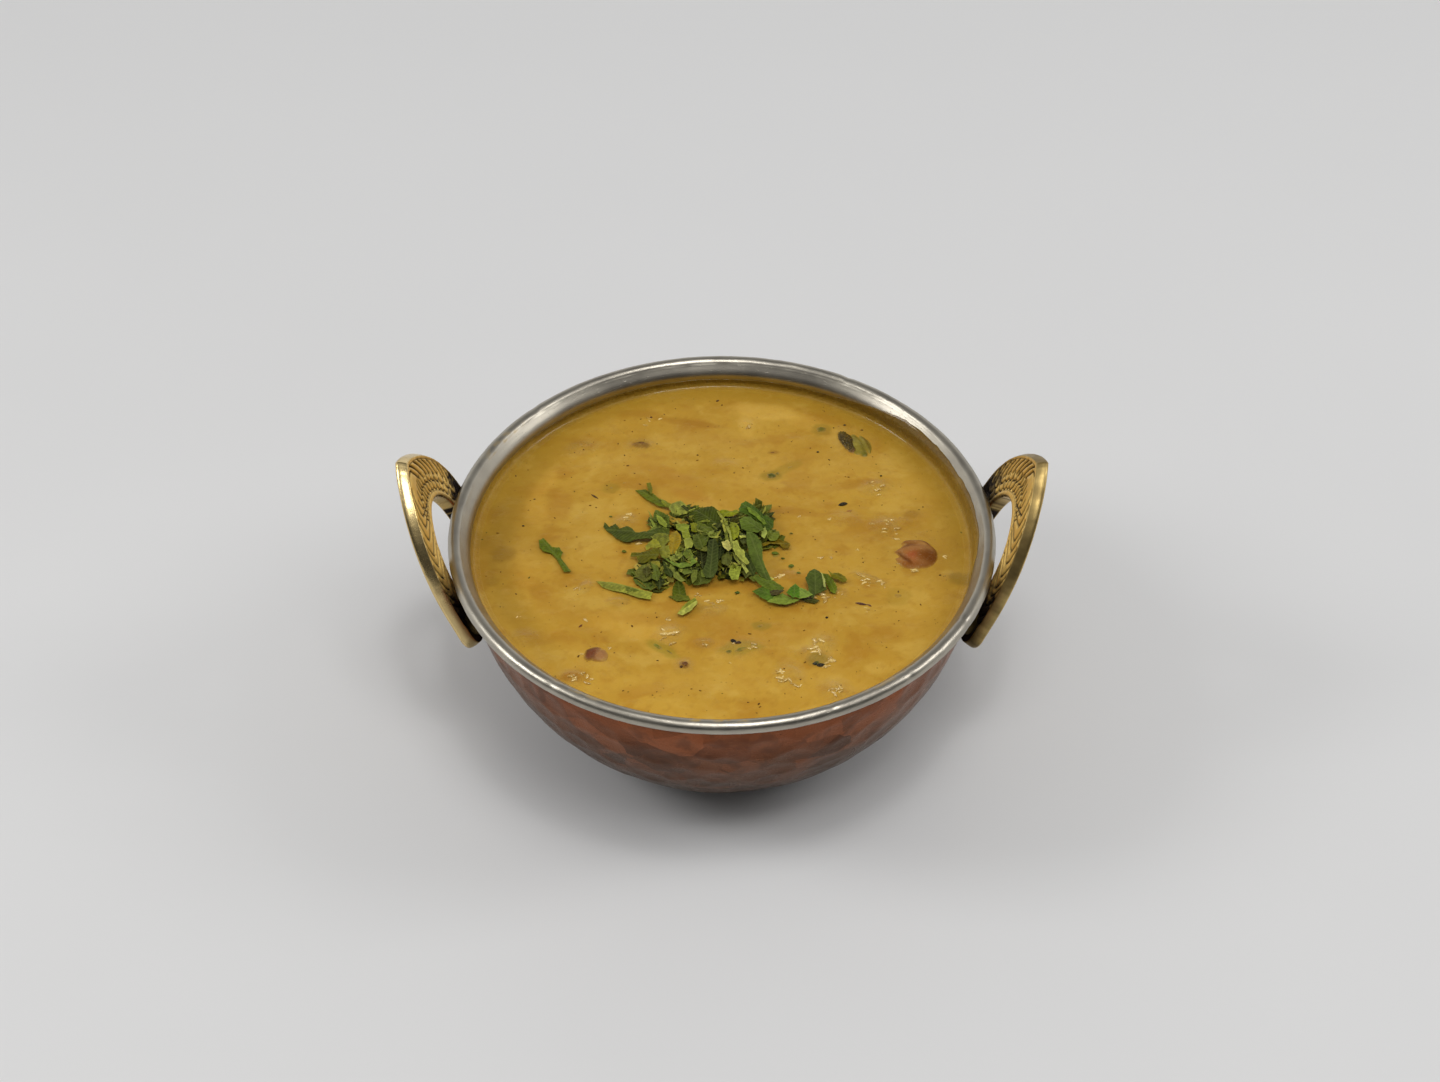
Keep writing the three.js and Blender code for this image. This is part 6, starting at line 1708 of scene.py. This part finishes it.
    ((70, 84, 34), 0, 0.40, 0.30, [(-7.7, -12.4, 1.8), (-5.6, -10.4, 2.1), (-3.5, -12.0, 2.1), (-2.2, -14.1, 2.0), (-3.2, -16.1, 1.7), (-5.6, -16.7, 1.5), (-7.4, -16.9, 1.4)]),  # bottom leaf
    ((98, 110, 56), 1, 0.20, 0.30, [(-7.5, -11.5, 2.4), (-6.4, -12.4, 2.5), (-6.6, -15.8, 2.5), (-7.7, -17.1, 2.4), (-8.2, -14.1, 2.3)]),  # bottom ridge
    ((186, 190, 136), 0, 0.20, 0.30, [(-0.1, -4.2, 5.2), (1.7, -4.0, 5.5), (2.5, -6.8, 5.5), (1.7, -8.3, 5.5), (0.4, -6.6, 5.3)]),  # cream chip
    ((90, 96, 62), 0, 0.30, 0.40, [(-0.1, -7.3, 3.5), (1.7, -6.8, 3.7), (2.8, -9.2, 3.8), (1.7, -12.1, 3.7), (-0.1, -10.7, 3.5)]),  # grey chip
    ((140, 146, 86), 1, 0.10, 0.05, [(-1.4, 7.6, 5.2), (-0.9, 7.6, 5.2), (0.7, 4.8, 5.2), (0.2, 4.0, 5.2)]),  # stem a
    ((150, 156, 96), 1, 0.10, 0.05, [(-0.4, 3.8, 5.4), (0.2, 4.2, 5.4), (1.2, -0.1, 5.4), (0.7, -0.9, 5.4)]),  # stem b
    ((138, 142, 82), 1, 0.10, 0.05, [(0.4, 4.4, 5.6), (1.0, 4.4, 5.6), (2.0, 0.5, 5.6), (2.0, -1.9, 5.6), (1.2, 0.1, 5.6)]),  # stem c
    ((126, 132, 70), 1, 0.10, 0.05, [(0.7, -0.4, 5.3), (1.5, -0.4, 5.3), (1.7, -4.3, 5.3), (1.0, -4.3, 5.3)]),  # stem d
    ((144, 150, 88), 1, 0.10, 0.05, [(1.8, -0.2, 5.5), (2.3, -0.2, 5.5), (2.8, -4.5, 5.5), (3.1, -7.9, 5.5), (2.3, -6.4, 5.5)]),  # stem e
    ((128, 136, 36), 0, 0.30, 0.20, [(1.5, 2.1, 4.8), (2.6, 3.5, 4.9), (3.9, 3.0, 5.1), (4.7, 0.9, 5.2), (4.4, -2.2, 5.1), (3.1, -3.5, 5.0), (2.0, -1.5, 4.9)]),  # yellow leaf
    ((156, 166, 90), 1, 0.15, 0.15, [(2.8, -5.6, 6.6), (4.1, -5.3, 6.7), (4.6, -7.2, 6.3), (5.9, -8.8, 6.0), (6.2, -10.7, 5.6), (7.2, -12.3, 5.3), (6.4, -13.0, 5.2), (5.1, -11.7, 5.5), (3.8, -10.1, 5.8), (3.0, -8.5, 6.1)]),  # broad pale
    ((152, 158, 100), 1, 0.10, 0.05, [(4.6, -10.2, 4.0), (5.4, -10.2, 4.0), (7.0, -14.3, 4.0), (6.4, -15.1, 4.0), (5.4, -12.8, 4.0)]),  # pale strip low
    ((136, 144, 84), 1, 0.10, 0.05, [(2.8, -7.3, 4.2), (3.6, -8.1, 4.2), (5.1, -11.5, 4.2), (4.6, -11.9, 4.2), (3.3, -9.6, 4.2)]),  # pale strip left
    ((146, 160, 80), 1, 0.10, 0.10, [(1.7, -13.8, 2.8), (2.5, -10.7, 3.0), (3.6, -10.7, 3.0), (5.1, -11.7, 2.9), (4.6, -14.1, 2.7), (4.3, -15.9, 2.6), (2.5, -15.9, 2.6)]),  # pale square
    ((122, 132, 28), 0, 0.20, 0.30, [(-0.9, 8.8, 4.1), (0.2, 9.4, 4.2), (2.0, 8.4, 4.4), (4.2, 8.9, 4.7), (4.4, 7.7, 4.7), (2.6, 6.4, 4.5), (1.0, 6.6, 4.3), (0.2, 5.9, 4.2)]),  # yellow top
    ((52, 50, 4), 0, 0.00, 0.20, [(0.7, 7.2, 3.4), (2.6, 7.3, 3.6), (4.5, 7.9, 3.8), (4.4, 5.1, 3.8), (2.3, 5.0, 3.6), (1.0, 5.6, 3.4)]),  # gap top: a dark piece painted as the shade in a gap
    ((64, 90, 26), 0, 0.50, 0.35, [(4.5, 9.6, 4.4), (5.3, 11.8, 4.2), (6.4, 12.9, 4.0), (8.0, 12.1, 3.6), (9.3, 11.2, 3.3), (10.7, 9.5, 3.0), (12.5, 8.4, 2.6), (13.9, 7.2, 2.3), (13.8, 4.8, 2.3), (12.4, 2.5, 2.6), (10.9, 4.1, 3.0), (9.3, 6.0, 3.3), (7.7, 7.6, 3.7), (6.1, 8.0, 4.1), (4.7, 8.1, 4.4)]),  # right top leaf
    ((100, 124, 44), 1, 0.20, 0.30, [(6.6, 10.5, 4.7), (8.2, 9.4, 4.3), (10.4, 7.6, 3.7), (11.9, 5.0, 3.2), (11.1, 4.3, 3.5), (9.3, 6.5, 4.0), (7.1, 8.2, 4.6)]),  # right top ridge
    ((80, 102, 42), 0, 0.50, 0.10, [(4.7, 4.6, 5.0), (6.0, 6.0, 4.8), (7.7, 6.3, 4.5), (9.0, 4.6, 4.3), (10.6, 3.7, 4.0), (11.1, 1.8, 4.0), (9.5, 0.4, 4.2), (7.1, 0.3, 4.6), (5.2, 1.2, 4.9)]),  # right leaf
    ((140, 154, 100), 0, 0.10, 0.30, [(10.6, 1.7, 3.7), (11.6, 3.3, 3.7), (12.1, 0.9, 3.7), (11.3, -1.4, 3.7), (10.5, -0.6, 3.7)]),  # pale flake
    ((98, 116, 50), 0, 0.30, 0.40, [(12.4, 2.9, 2.6), (14.3, 3.0, 2.2), (15.6, 2.1, 1.9), (14.8, -0.0, 2.0), (12.9, -1.2, 2.5), (11.9, 0.5, 2.7)]),  # right small
    ((108, 94, 6), 0, 0.20, 0.10, [(10.8, -1.7, 2.2), (12.9, -0.1, 1.7), (15.1, 0.9, 1.2), (17.2, 0.6, 0.8), (18.3, -0.3, 0.5), (17.7, -2.0, 0.6), (16.4, -2.3, 0.9), (15.3, -1.0, 1.2), (12.9, -1.2, 1.7), (11.0, -2.8, 2.1)]),  # olive strip
    ((80, 100, 50), 0, 0.55, 0.08, [(6.5, -2.3, 7.1), (8.1, -2.5, 6.9), (9.4, -3.5, 6.4), (10.4, -5.0, 5.7), (10.7, -7.0, 4.7), (10.7, -9.3, 3.5), (11.5, -11.3, 2.5), (12.5, -13.3, 1.5), (13.3, -15.2, 0.5), (11.4, -14.7, 0.7), (9.3, -12.5, 1.9), (8.0, -10.3, 3.0), (7.0, -7.5, 4.4), (6.5, -4.8, 5.8)]),  # long leaf
    ((46, 60, 24), 0, 0.10, 0.20, [(5.2, -6.6, 4.3), (6.5, -7.2, 4.1), (8.0, -10.1, 3.2), (9.3, -12.4, 2.5), (8.3, -13.8, 2.0), (6.5, -12.7, 2.4), (5.2, -9.8, 3.3)]),  # long leaf side
    ((66, 74, 40), 0, 0.30, 0.40, [(4.9, -0.8, 5.0), (6.5, -1.6, 5.0), (6.8, -4.3, 5.0), (5.4, -5.1, 5.0), (4.7, -3.2, 5.0)]),  # chip by stems
    ((168, 172, 116), 1, 0.10, 0.05, [(4.7, -2.3, 5.6), (6.2, -2.3, 5.6), (6.5, -3.0, 5.6), (4.9, -3.4, 5.6)]),  # pale bar
    ((82, 104, 40), 0, 0.40, 0.20, [(8.0, -14.4, 1.9), (9.6, -13.7, 2.0), (11.7, -15.5, 1.8), (13.5, -15.5, 1.8), (15.3, -17.2, 1.7), (16.3, -18.2, 1.6), (14.5, -19.2, 1.5), (12.7, -18.9, 1.5), (10.9, -17.9, 1.6), (9.3, -16.1, 1.7)]),  # tail a
    ((78, 108, 42), 0, 0.40, 0.12, [(8.0, -19.0, 1.3), (10.6, -17.3, 1.4), (12.7, -18.3, 1.3), (14.5, -20.1, 1.2), (13.7, -21.8, 1.0), (12.1, -22.4, 1.0), (10.3, -21.1, 1.1)]),  # tail b
    ((62, 54, 44), 0, 0.10, 0.30, [(12.4, -19.7, 1.9), (14.5, -18.9, 1.9), (16.3, -19.3, 1.9), (14.7, -20.8, 1.9), (12.9, -21.1, 1.9)]),  # tail dark line
    ((108, 134, 62), 0, 0.30, 0.10, [(11.8, -22.7, 1.2), (13.7, -20.8, 1.2), (15.8, -19.7, 1.2), (17.8, -21.2, 1.2), (20.4, -21.9, 1.2), (18.8, -23.0, 1.2), (16.5, -23.8, 1.2), (13.9, -23.4, 1.2)]),  # tail c
    ((72, 112, 32), 0, 0.35, 0.10, [(16.8, -20.1, 2.0), (17.9, -18.3, 2.0), (19.2, -16.8, 2.0), (20.2, -18.3, 2.0), (20.1, -22.0, 2.0), (18.3, -22.0, 2.0)]),  # fold dark half
    ((118, 148, 82), 0, 0.20, 0.10, [(20.0, -18.2, 1.9), (21.8, -18.9, 1.9), (23.6, -20.8, 1.9), (22.0, -21.9, 1.9), (19.9, -22.3, 1.9)]),  # fold light half
    ((58, 58, 20), 0, 0.10, 0.10, [(19.9, -20.8, 0.5), (22.0, -20.5, 0.5), (23.6, -20.5, 0.5), (25.4, -21.6, 0.5), (24.1, -22.7, 0.5), (21.7, -21.9, 0.5)]),  # fold shadow
    ((68, 84, 42), 0, 0.80, 0.12, [(21.8, -15.5, 3.0), (22.9, -13.9, 3.6), (24.2, -13.1, 3.9), (25.5, -13.9, 3.6), (26.6, -15.2, 3.1), (27.0, -16.8, 2.4), (27.3, -18.7, 1.7), (25.7, -19.5, 1.4), (24.4, -20.0, 1.2), (23.6, -21.1, 0.8), (22.5, -20.3, 1.1), (22.6, -17.9, 2.0)]),  # cup
    ((150, 160, 120), 1, 0.10, 0.05, [(25.8, -14.1, 3.5), (26.3, -14.5, 3.4), (27.0, -16.7, 3.0), (27.0, -18.8, 2.5), (26.5, -18.5, 2.6), (26.3, -16.3, 3.0)]),  # cup edge
    ((88, 104, 14), 0, 0.35, 0.15, [(26.4, -12.5, 1.5), (28.0, -12.8, 1.5), (29.0, -14.6, 1.3), (30.0, -17.0, 1.1), (29.4, -19.4, 0.9), (28.3, -18.7, 1.0), (27.4, -16.3, 1.2)]),  # curved olive
    ((104, 98, 4), 0, 0.30, 0.15, [(28.0, -11.5, 1.7), (29.0, -12.6, 1.6), (30.6, -12.0, 1.4), (32.2, -13.3, 1.2), (32.9, -14.7, 1.1), (31.6, -15.6, 1.3), (30.3, -14.7, 1.4), (28.7, -14.1, 1.6)]),  # yellow tip
    ((150, 148, 84), 1, 0.05, 0.05, [(29.3, -15.0, 0.6), (29.8, -15.0, 0.6), (30.2, -17.6, 0.6), (29.6, -19.5, 0.6), (29.4, -17.6, 0.6)]),  # pale thread
    ((190, 188, 118), 0, 0.20, 0.10, [(12.2, -12.8, 0.7), (13.3, -13.2, 0.7), (13.8, -13.9, 0.7), (12.5, -14.3, 0.7)]),  # cream dot
    ((134, 142, 72), 1, 0.30, 0.08, [(-32.9, -14.2, 0.3), (-28.9, -14.8, 0.5), (-25.2, -16.2, 0.7), (-21.3, -17.9, 0.9), (-18.1, -19.2, 1.1), (-18.6, -21.8, 1.1), (-21.7, -20.9, 0.9), (-25.1, -19.2, 0.7), (-28.6, -17.9, 0.5), (-31.2, -16.6, 0.4)]),  # ribbed leaf
    ((84, 98, 40), 1, 0.10, 0.10, [(-25.2, -16.9, 1.0), (-22.8, -17.8, 1.1), (-21.2, -18.6, 1.2), (-23.3, -18.9, 1.1), (-24.9, -18.4, 1.0)]),  # ribbed dark edge
    ((140, 146, 66), 1, 0.60, 0.08, [(-11.5, -26.9, 1.0), (-10.2, -24.3, 1.0), (-8.7, -22.5, 1.0), (-6.9, -21.0, 1.0), (-6.3, -22.8, 1.0), (-7.9, -25.8, 1.0), (-10.2, -27.6, 1.0)]),  # folded pale
    ((166, 168, 96), 1, 0.20, 0.08, [(-11.5, -27.4, 1.5), (-9.9, -25.9, 1.5), (-8.1, -24.1, 1.5), (-6.6, -22.6, 1.5), (-6.3, -23.7, 1.5), (-8.1, -26.3, 1.5), (-10.2, -28.1, 1.5)]),  # folded pale edge
    ((170, 152, 96), 0, 0.30, 0.30, [(-21.2, -9.1, 1.2), (-22.3, -8.4, 1.2), (-23.3, -9.5, 1.2), (-22.5, -11.0, 1.2), (-21.4, -10.7, 1.2)]),  # small brown
    ((112, 106, 58), 0, 0.30, 0.30, [(-19.6, -8.8, 2.0), (-18.0, -9.6, 2.0), (-18.5, -11.5, 2.0), (-19.8, -11.1, 2.0)]),  # left chip
    ((92, 104, 50), 0, 0.30, 0.30, [(-6.4, -5.8, 4.2), (-5.7, -4.6, 4.2), (-4.1, -5.0, 4.2), (-3.5, -6.9, 4.2), (-5.1, -6.6, 4.2)]),  # chip x
    ((128, 140, 76), 1, 0.20, 0.30, [(-14.1, -7.9, 3.3), (-12.2, -7.5, 3.3), (-10.7, -6.4, 3.3), (-10.1, -7.9, 3.3), (-11.9, -9.4, 3.3), (-13.5, -9.4, 3.3)]),  # chip y
    ((96, 110, 58), 1, 0.20, 0.30, [(-5.6, -12.1, 2.6), (-4.0, -12.9, 2.6), (-3.8, -14.8, 2.6), (-5.3, -15.1, 2.6)]),  # chip z
    ((78, 86, 48), 0, 0.30, 0.40, [(5.4, -10.7, 2.3), (7.0, -11.8, 2.3), (7.8, -13.7, 2.3), (6.2, -14.8, 2.3), (5.1, -12.9, 2.3)]),  # chip w
    ((96, 110, 56), 0, 0.30, 0.30, [(7.0, -12.3, 1.3), (9.4, -12.3, 1.3), (10.4, -14.2, 1.3), (8.5, -15.3, 1.3), (7.0, -14.2, 1.3)]),  # chip v
    ((120, 110, 40), 0, 0.20, 0.20, [(4.9, -13.3, 0.8), (6.5, -13.3, 0.8), (5.7, -14.8, 0.8), (4.6, -14.4, 0.8)]),  # chip u
]


def make_coriander():
    r = np.random.RandomState(14)
    pile = Pile()
    # the chopped mass under and between the pieces that show
    share = np.cumsum([m[4] for m in MOUNDS])
    made = 0
    while made < 430:
        cx, cy, rad, up, _ = MOUNDS[int(np.searchsorted(share, r.uniform(0, share[-1])))]
        a, d = r.uniform(0, 2 * math.pi), rad * math.sqrt(r.uniform()) * 0.98
        x, y = cx + d * math.cos(a), cy + d * math.sin(a)
        if math.hypot(x + 13.6, y - 0.5) < 2.2 or math.hypot(x - 6.5, y + 15.5) < 3.4 or math.hypot(x - 0.6, y + 14.5) < 2.2:
            continue
        H = float(pile_height(np.array([x]), np.array([y]))[0])
        z = 0.15 + H * 0.80 * r.uniform() ** 0.55
        u = r.uniform()
        if u < 0.30:
            colour, rib = lin(56, 66, 22), 0
        elif u < 0.54:
            colour, rib = lin(88, 92, 22), 0
        elif u < 0.80:
            colour, rib = lin(102, 112, 48), 0
        elif u < 0.93:
            colour, rib = lin(142, 150, 84), 1
        else:
            colour, rib = lin(130, 126, 44), 0
        if x < -12 and y < -4 and u < 0.8:
            colour = mix(colour, lin(96, 98, 54), 0.45)
        chip(pile, x, y, z, r.uniform(0.9, 2.1) * (0.8 if rib else 1.0), colour * 1.05, 1000 + made, tilt=32, rib=rib)
        made += 1
    for i, (colour, rib, bulge, ruffle, points) in enumerate(SHARDS):
        shard(pile, points, lin(*colour) * 1.08, rib, bulge, ruffle, seed=i)

    # fine shreds on top of them
    made = 0
    while made < 330:
        cx, cy, rad, up, _ = MOUNDS[int(np.searchsorted(share, r.uniform(0, share[-1])))]
        a, d = r.uniform(0, 2 * math.pi), rad * math.sqrt(r.uniform()) * 0.95
        x, y = cx + d * math.cos(a), cy + d * math.sin(a)
        if math.hypot(x + 12.4, (y + 2.2) * 0.6) < 2.2 or math.hypot(x - 6.5, y + 15.5) < 3.4 or (4.6 < x < 9.4 and -8 < y < 5) or (-5.4 < x < -2.4 and -9 < y < 3):
            continue
        H = float(pile_height(np.array([x]), np.array([y]))[0])
        u = r.uniform()
        colour = lin(40, 48, 14) if u < 0.30 else lin(84, 92, 22) if u < 0.52 else lin(112, 122, 46) if u < 0.78 else lin(160, 164, 92)
        chip(pile, x, y, H * r.uniform(0.86, 1.12) + 0.2, r.uniform(0.35, 0.95), colour, 3000 + made, tilt=42, rib=1 if u > 0.6 else 0)
        made += 1

    D, O_, M, P_ = (c * np.array([0.98, 0.92, 0.5]) for c in (LEAF_DARK, LEAF_OLIVE, LEAF_MID, LEAF_PALE))
    # loose pieces round the pile
    shard(pile, [(-48.9, 1.0, 0.5), (-47.8, 1.9, 0.5), (-46.6, 0.3, 0.8), (-45.1, -1.7, 0.8), (-43.3, -1.7, 0.7), (-42.3, -3.7, 0.8), (-42.7, -5.6, 0.9), (-41.2, -8.2, 0.7),
                 (-39.7, -10.8, 0.5), (-41.5, -11.1, 0.5), (-42.5, -8.9, 0.7), (-44.0, -5.6, 0.9), (-45.5, -3.9, 0.9), (-47.3, -3.4, 0.8), (-48.5, -1.7, 0.7)], lin(92, 104, 30) * 1.08, 0, 0.35, 0.30, seed=160)
    for i, (x, y, s, c) in enumerate([(14.2, -3.6, 0.9, M), (18.3, -8.4, 0.7, M), (16.2, -5.4, 0.5, O_), (-26.0, -3.0, 0.6, O_), (4.0, -18.4, 0.6, D), (20.2, -11.2, 0.5, M), (-30.0, 11.0, 0.4, M), (18.6, 4.2, 0.4, M)]):
        leaf(pile, [(x - s, y + 0.4 * s, 0.25), (x, y, 0.45), (x + s, y + 0.2 * s, 0.25)], s * 0.55, c, ruffle=0.3, seed=80 + i, cols=5)

    # the core that they lie on, painted near-black as the shade deep in the pile
    turns, rings = 96, 26
    th = np.linspace(0, 2 * math.pi, turns, endpoint=False)
    rad = np.full(turns, 0.0)
    for i, a in enumerate(th):
        d = np.linspace(0, 24, 120)
        h = pile_height(-4.0 + d * math.cos(a), -2.0 + d * math.sin(a))
        hit = np.nonzero(h < 0.9)[0]
        rad[i] = d[hit[0]] if len(hit) else 14
    rad = np.minimum(rad, 15) * 0.90
    rad = (rad + np.roll(rad, 1) + np.roll(rad, -1)) / 3
    v = []
    for side in (1, -1):
        for k in np.linspace(0, 1, rings)[1:]:
            x, y = -4.0 + rad * k * np.cos(th), -2.0 + rad * k * np.sin(th)
            g = sauce_height(x, y)
            if side > 0:
                up = pile_height(x, y) * 0.66 * np.sqrt(np.maximum(0, 1 - k ** 4)) * (1 + 0.5 * N_LEAF.fbm(x / 2.0, y / 2.0, 0.0, 4))
                v.append(np.stack([x, y, g + 0.06 + np.maximum(up, 0)], axis=1))
            else:
                v.append(np.stack([x, y, g - 0.15 + 0 * x], axis=1))
    v = np.concatenate(v + [np.array([[-4.0, -2.0, sauce_height(np.array([-4.0]), np.array([-2.0]))[0] + pile_height(np.array([-4.0]), np.array([-2.0]))[0] * 0.66]]),
                            np.array([[-4.0, -2.0, FOOD_LEVEL - 0.3]])])
    m = rings - 1
    q = np.concatenate([grid_faces(m, turns, wrap=True), grid_faces(m, turns, wrap=True, base=m * turns, flip=True),
                        np.stack([(m - 1) * turns + np.arange(turns), (m - 1) * turns + (np.arange(turns) + 1) % turns,
                                  (2 * m - 1) * turns + (np.arange(turns) + 1) % turns, (2 * m - 1) * turns + np.arange(turns)], axis=1)])
    t = np.concatenate([fan(2 * m * turns, np.arange(turns), flip=True), fan(2 * m * turns + 1, m * turns + np.arange(turns))])
    q, t = outward(v, q, t)
    core = Pile()
    shade = smooth(-0.4, 0.5, N_LEAF.fbm(v[:, 0] / 1.3, v[:, 1] / 1.3, 3.0, 4))
    core.add(v, q, t, mix(lin(22, 28, 10), lin(60, 70, 24), shade), np.stack([v[:, 0], v[:, 1], 0 * v[:, 0]], axis=1))
    leaf_mat = leaf_material()
    ob = core.object("coriander_core_painted_shade", leaf_mat)
    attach(ob, "root")
    ob = pile.object("coriander_chopped", leaf_mat)
    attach(ob, "root")
    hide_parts("coriander_heap")


brass = brass_material()
make_liner()
make_copper()
make_handle(-1, "brass_handle_left", "handle_left", 101)
make_handle(1, "brass_handle_right", "handle_right", 102)
make_sauce()
make_tomato()
make_bean()
make_pepper()
make_bits()
make_curds()
make_coriander()
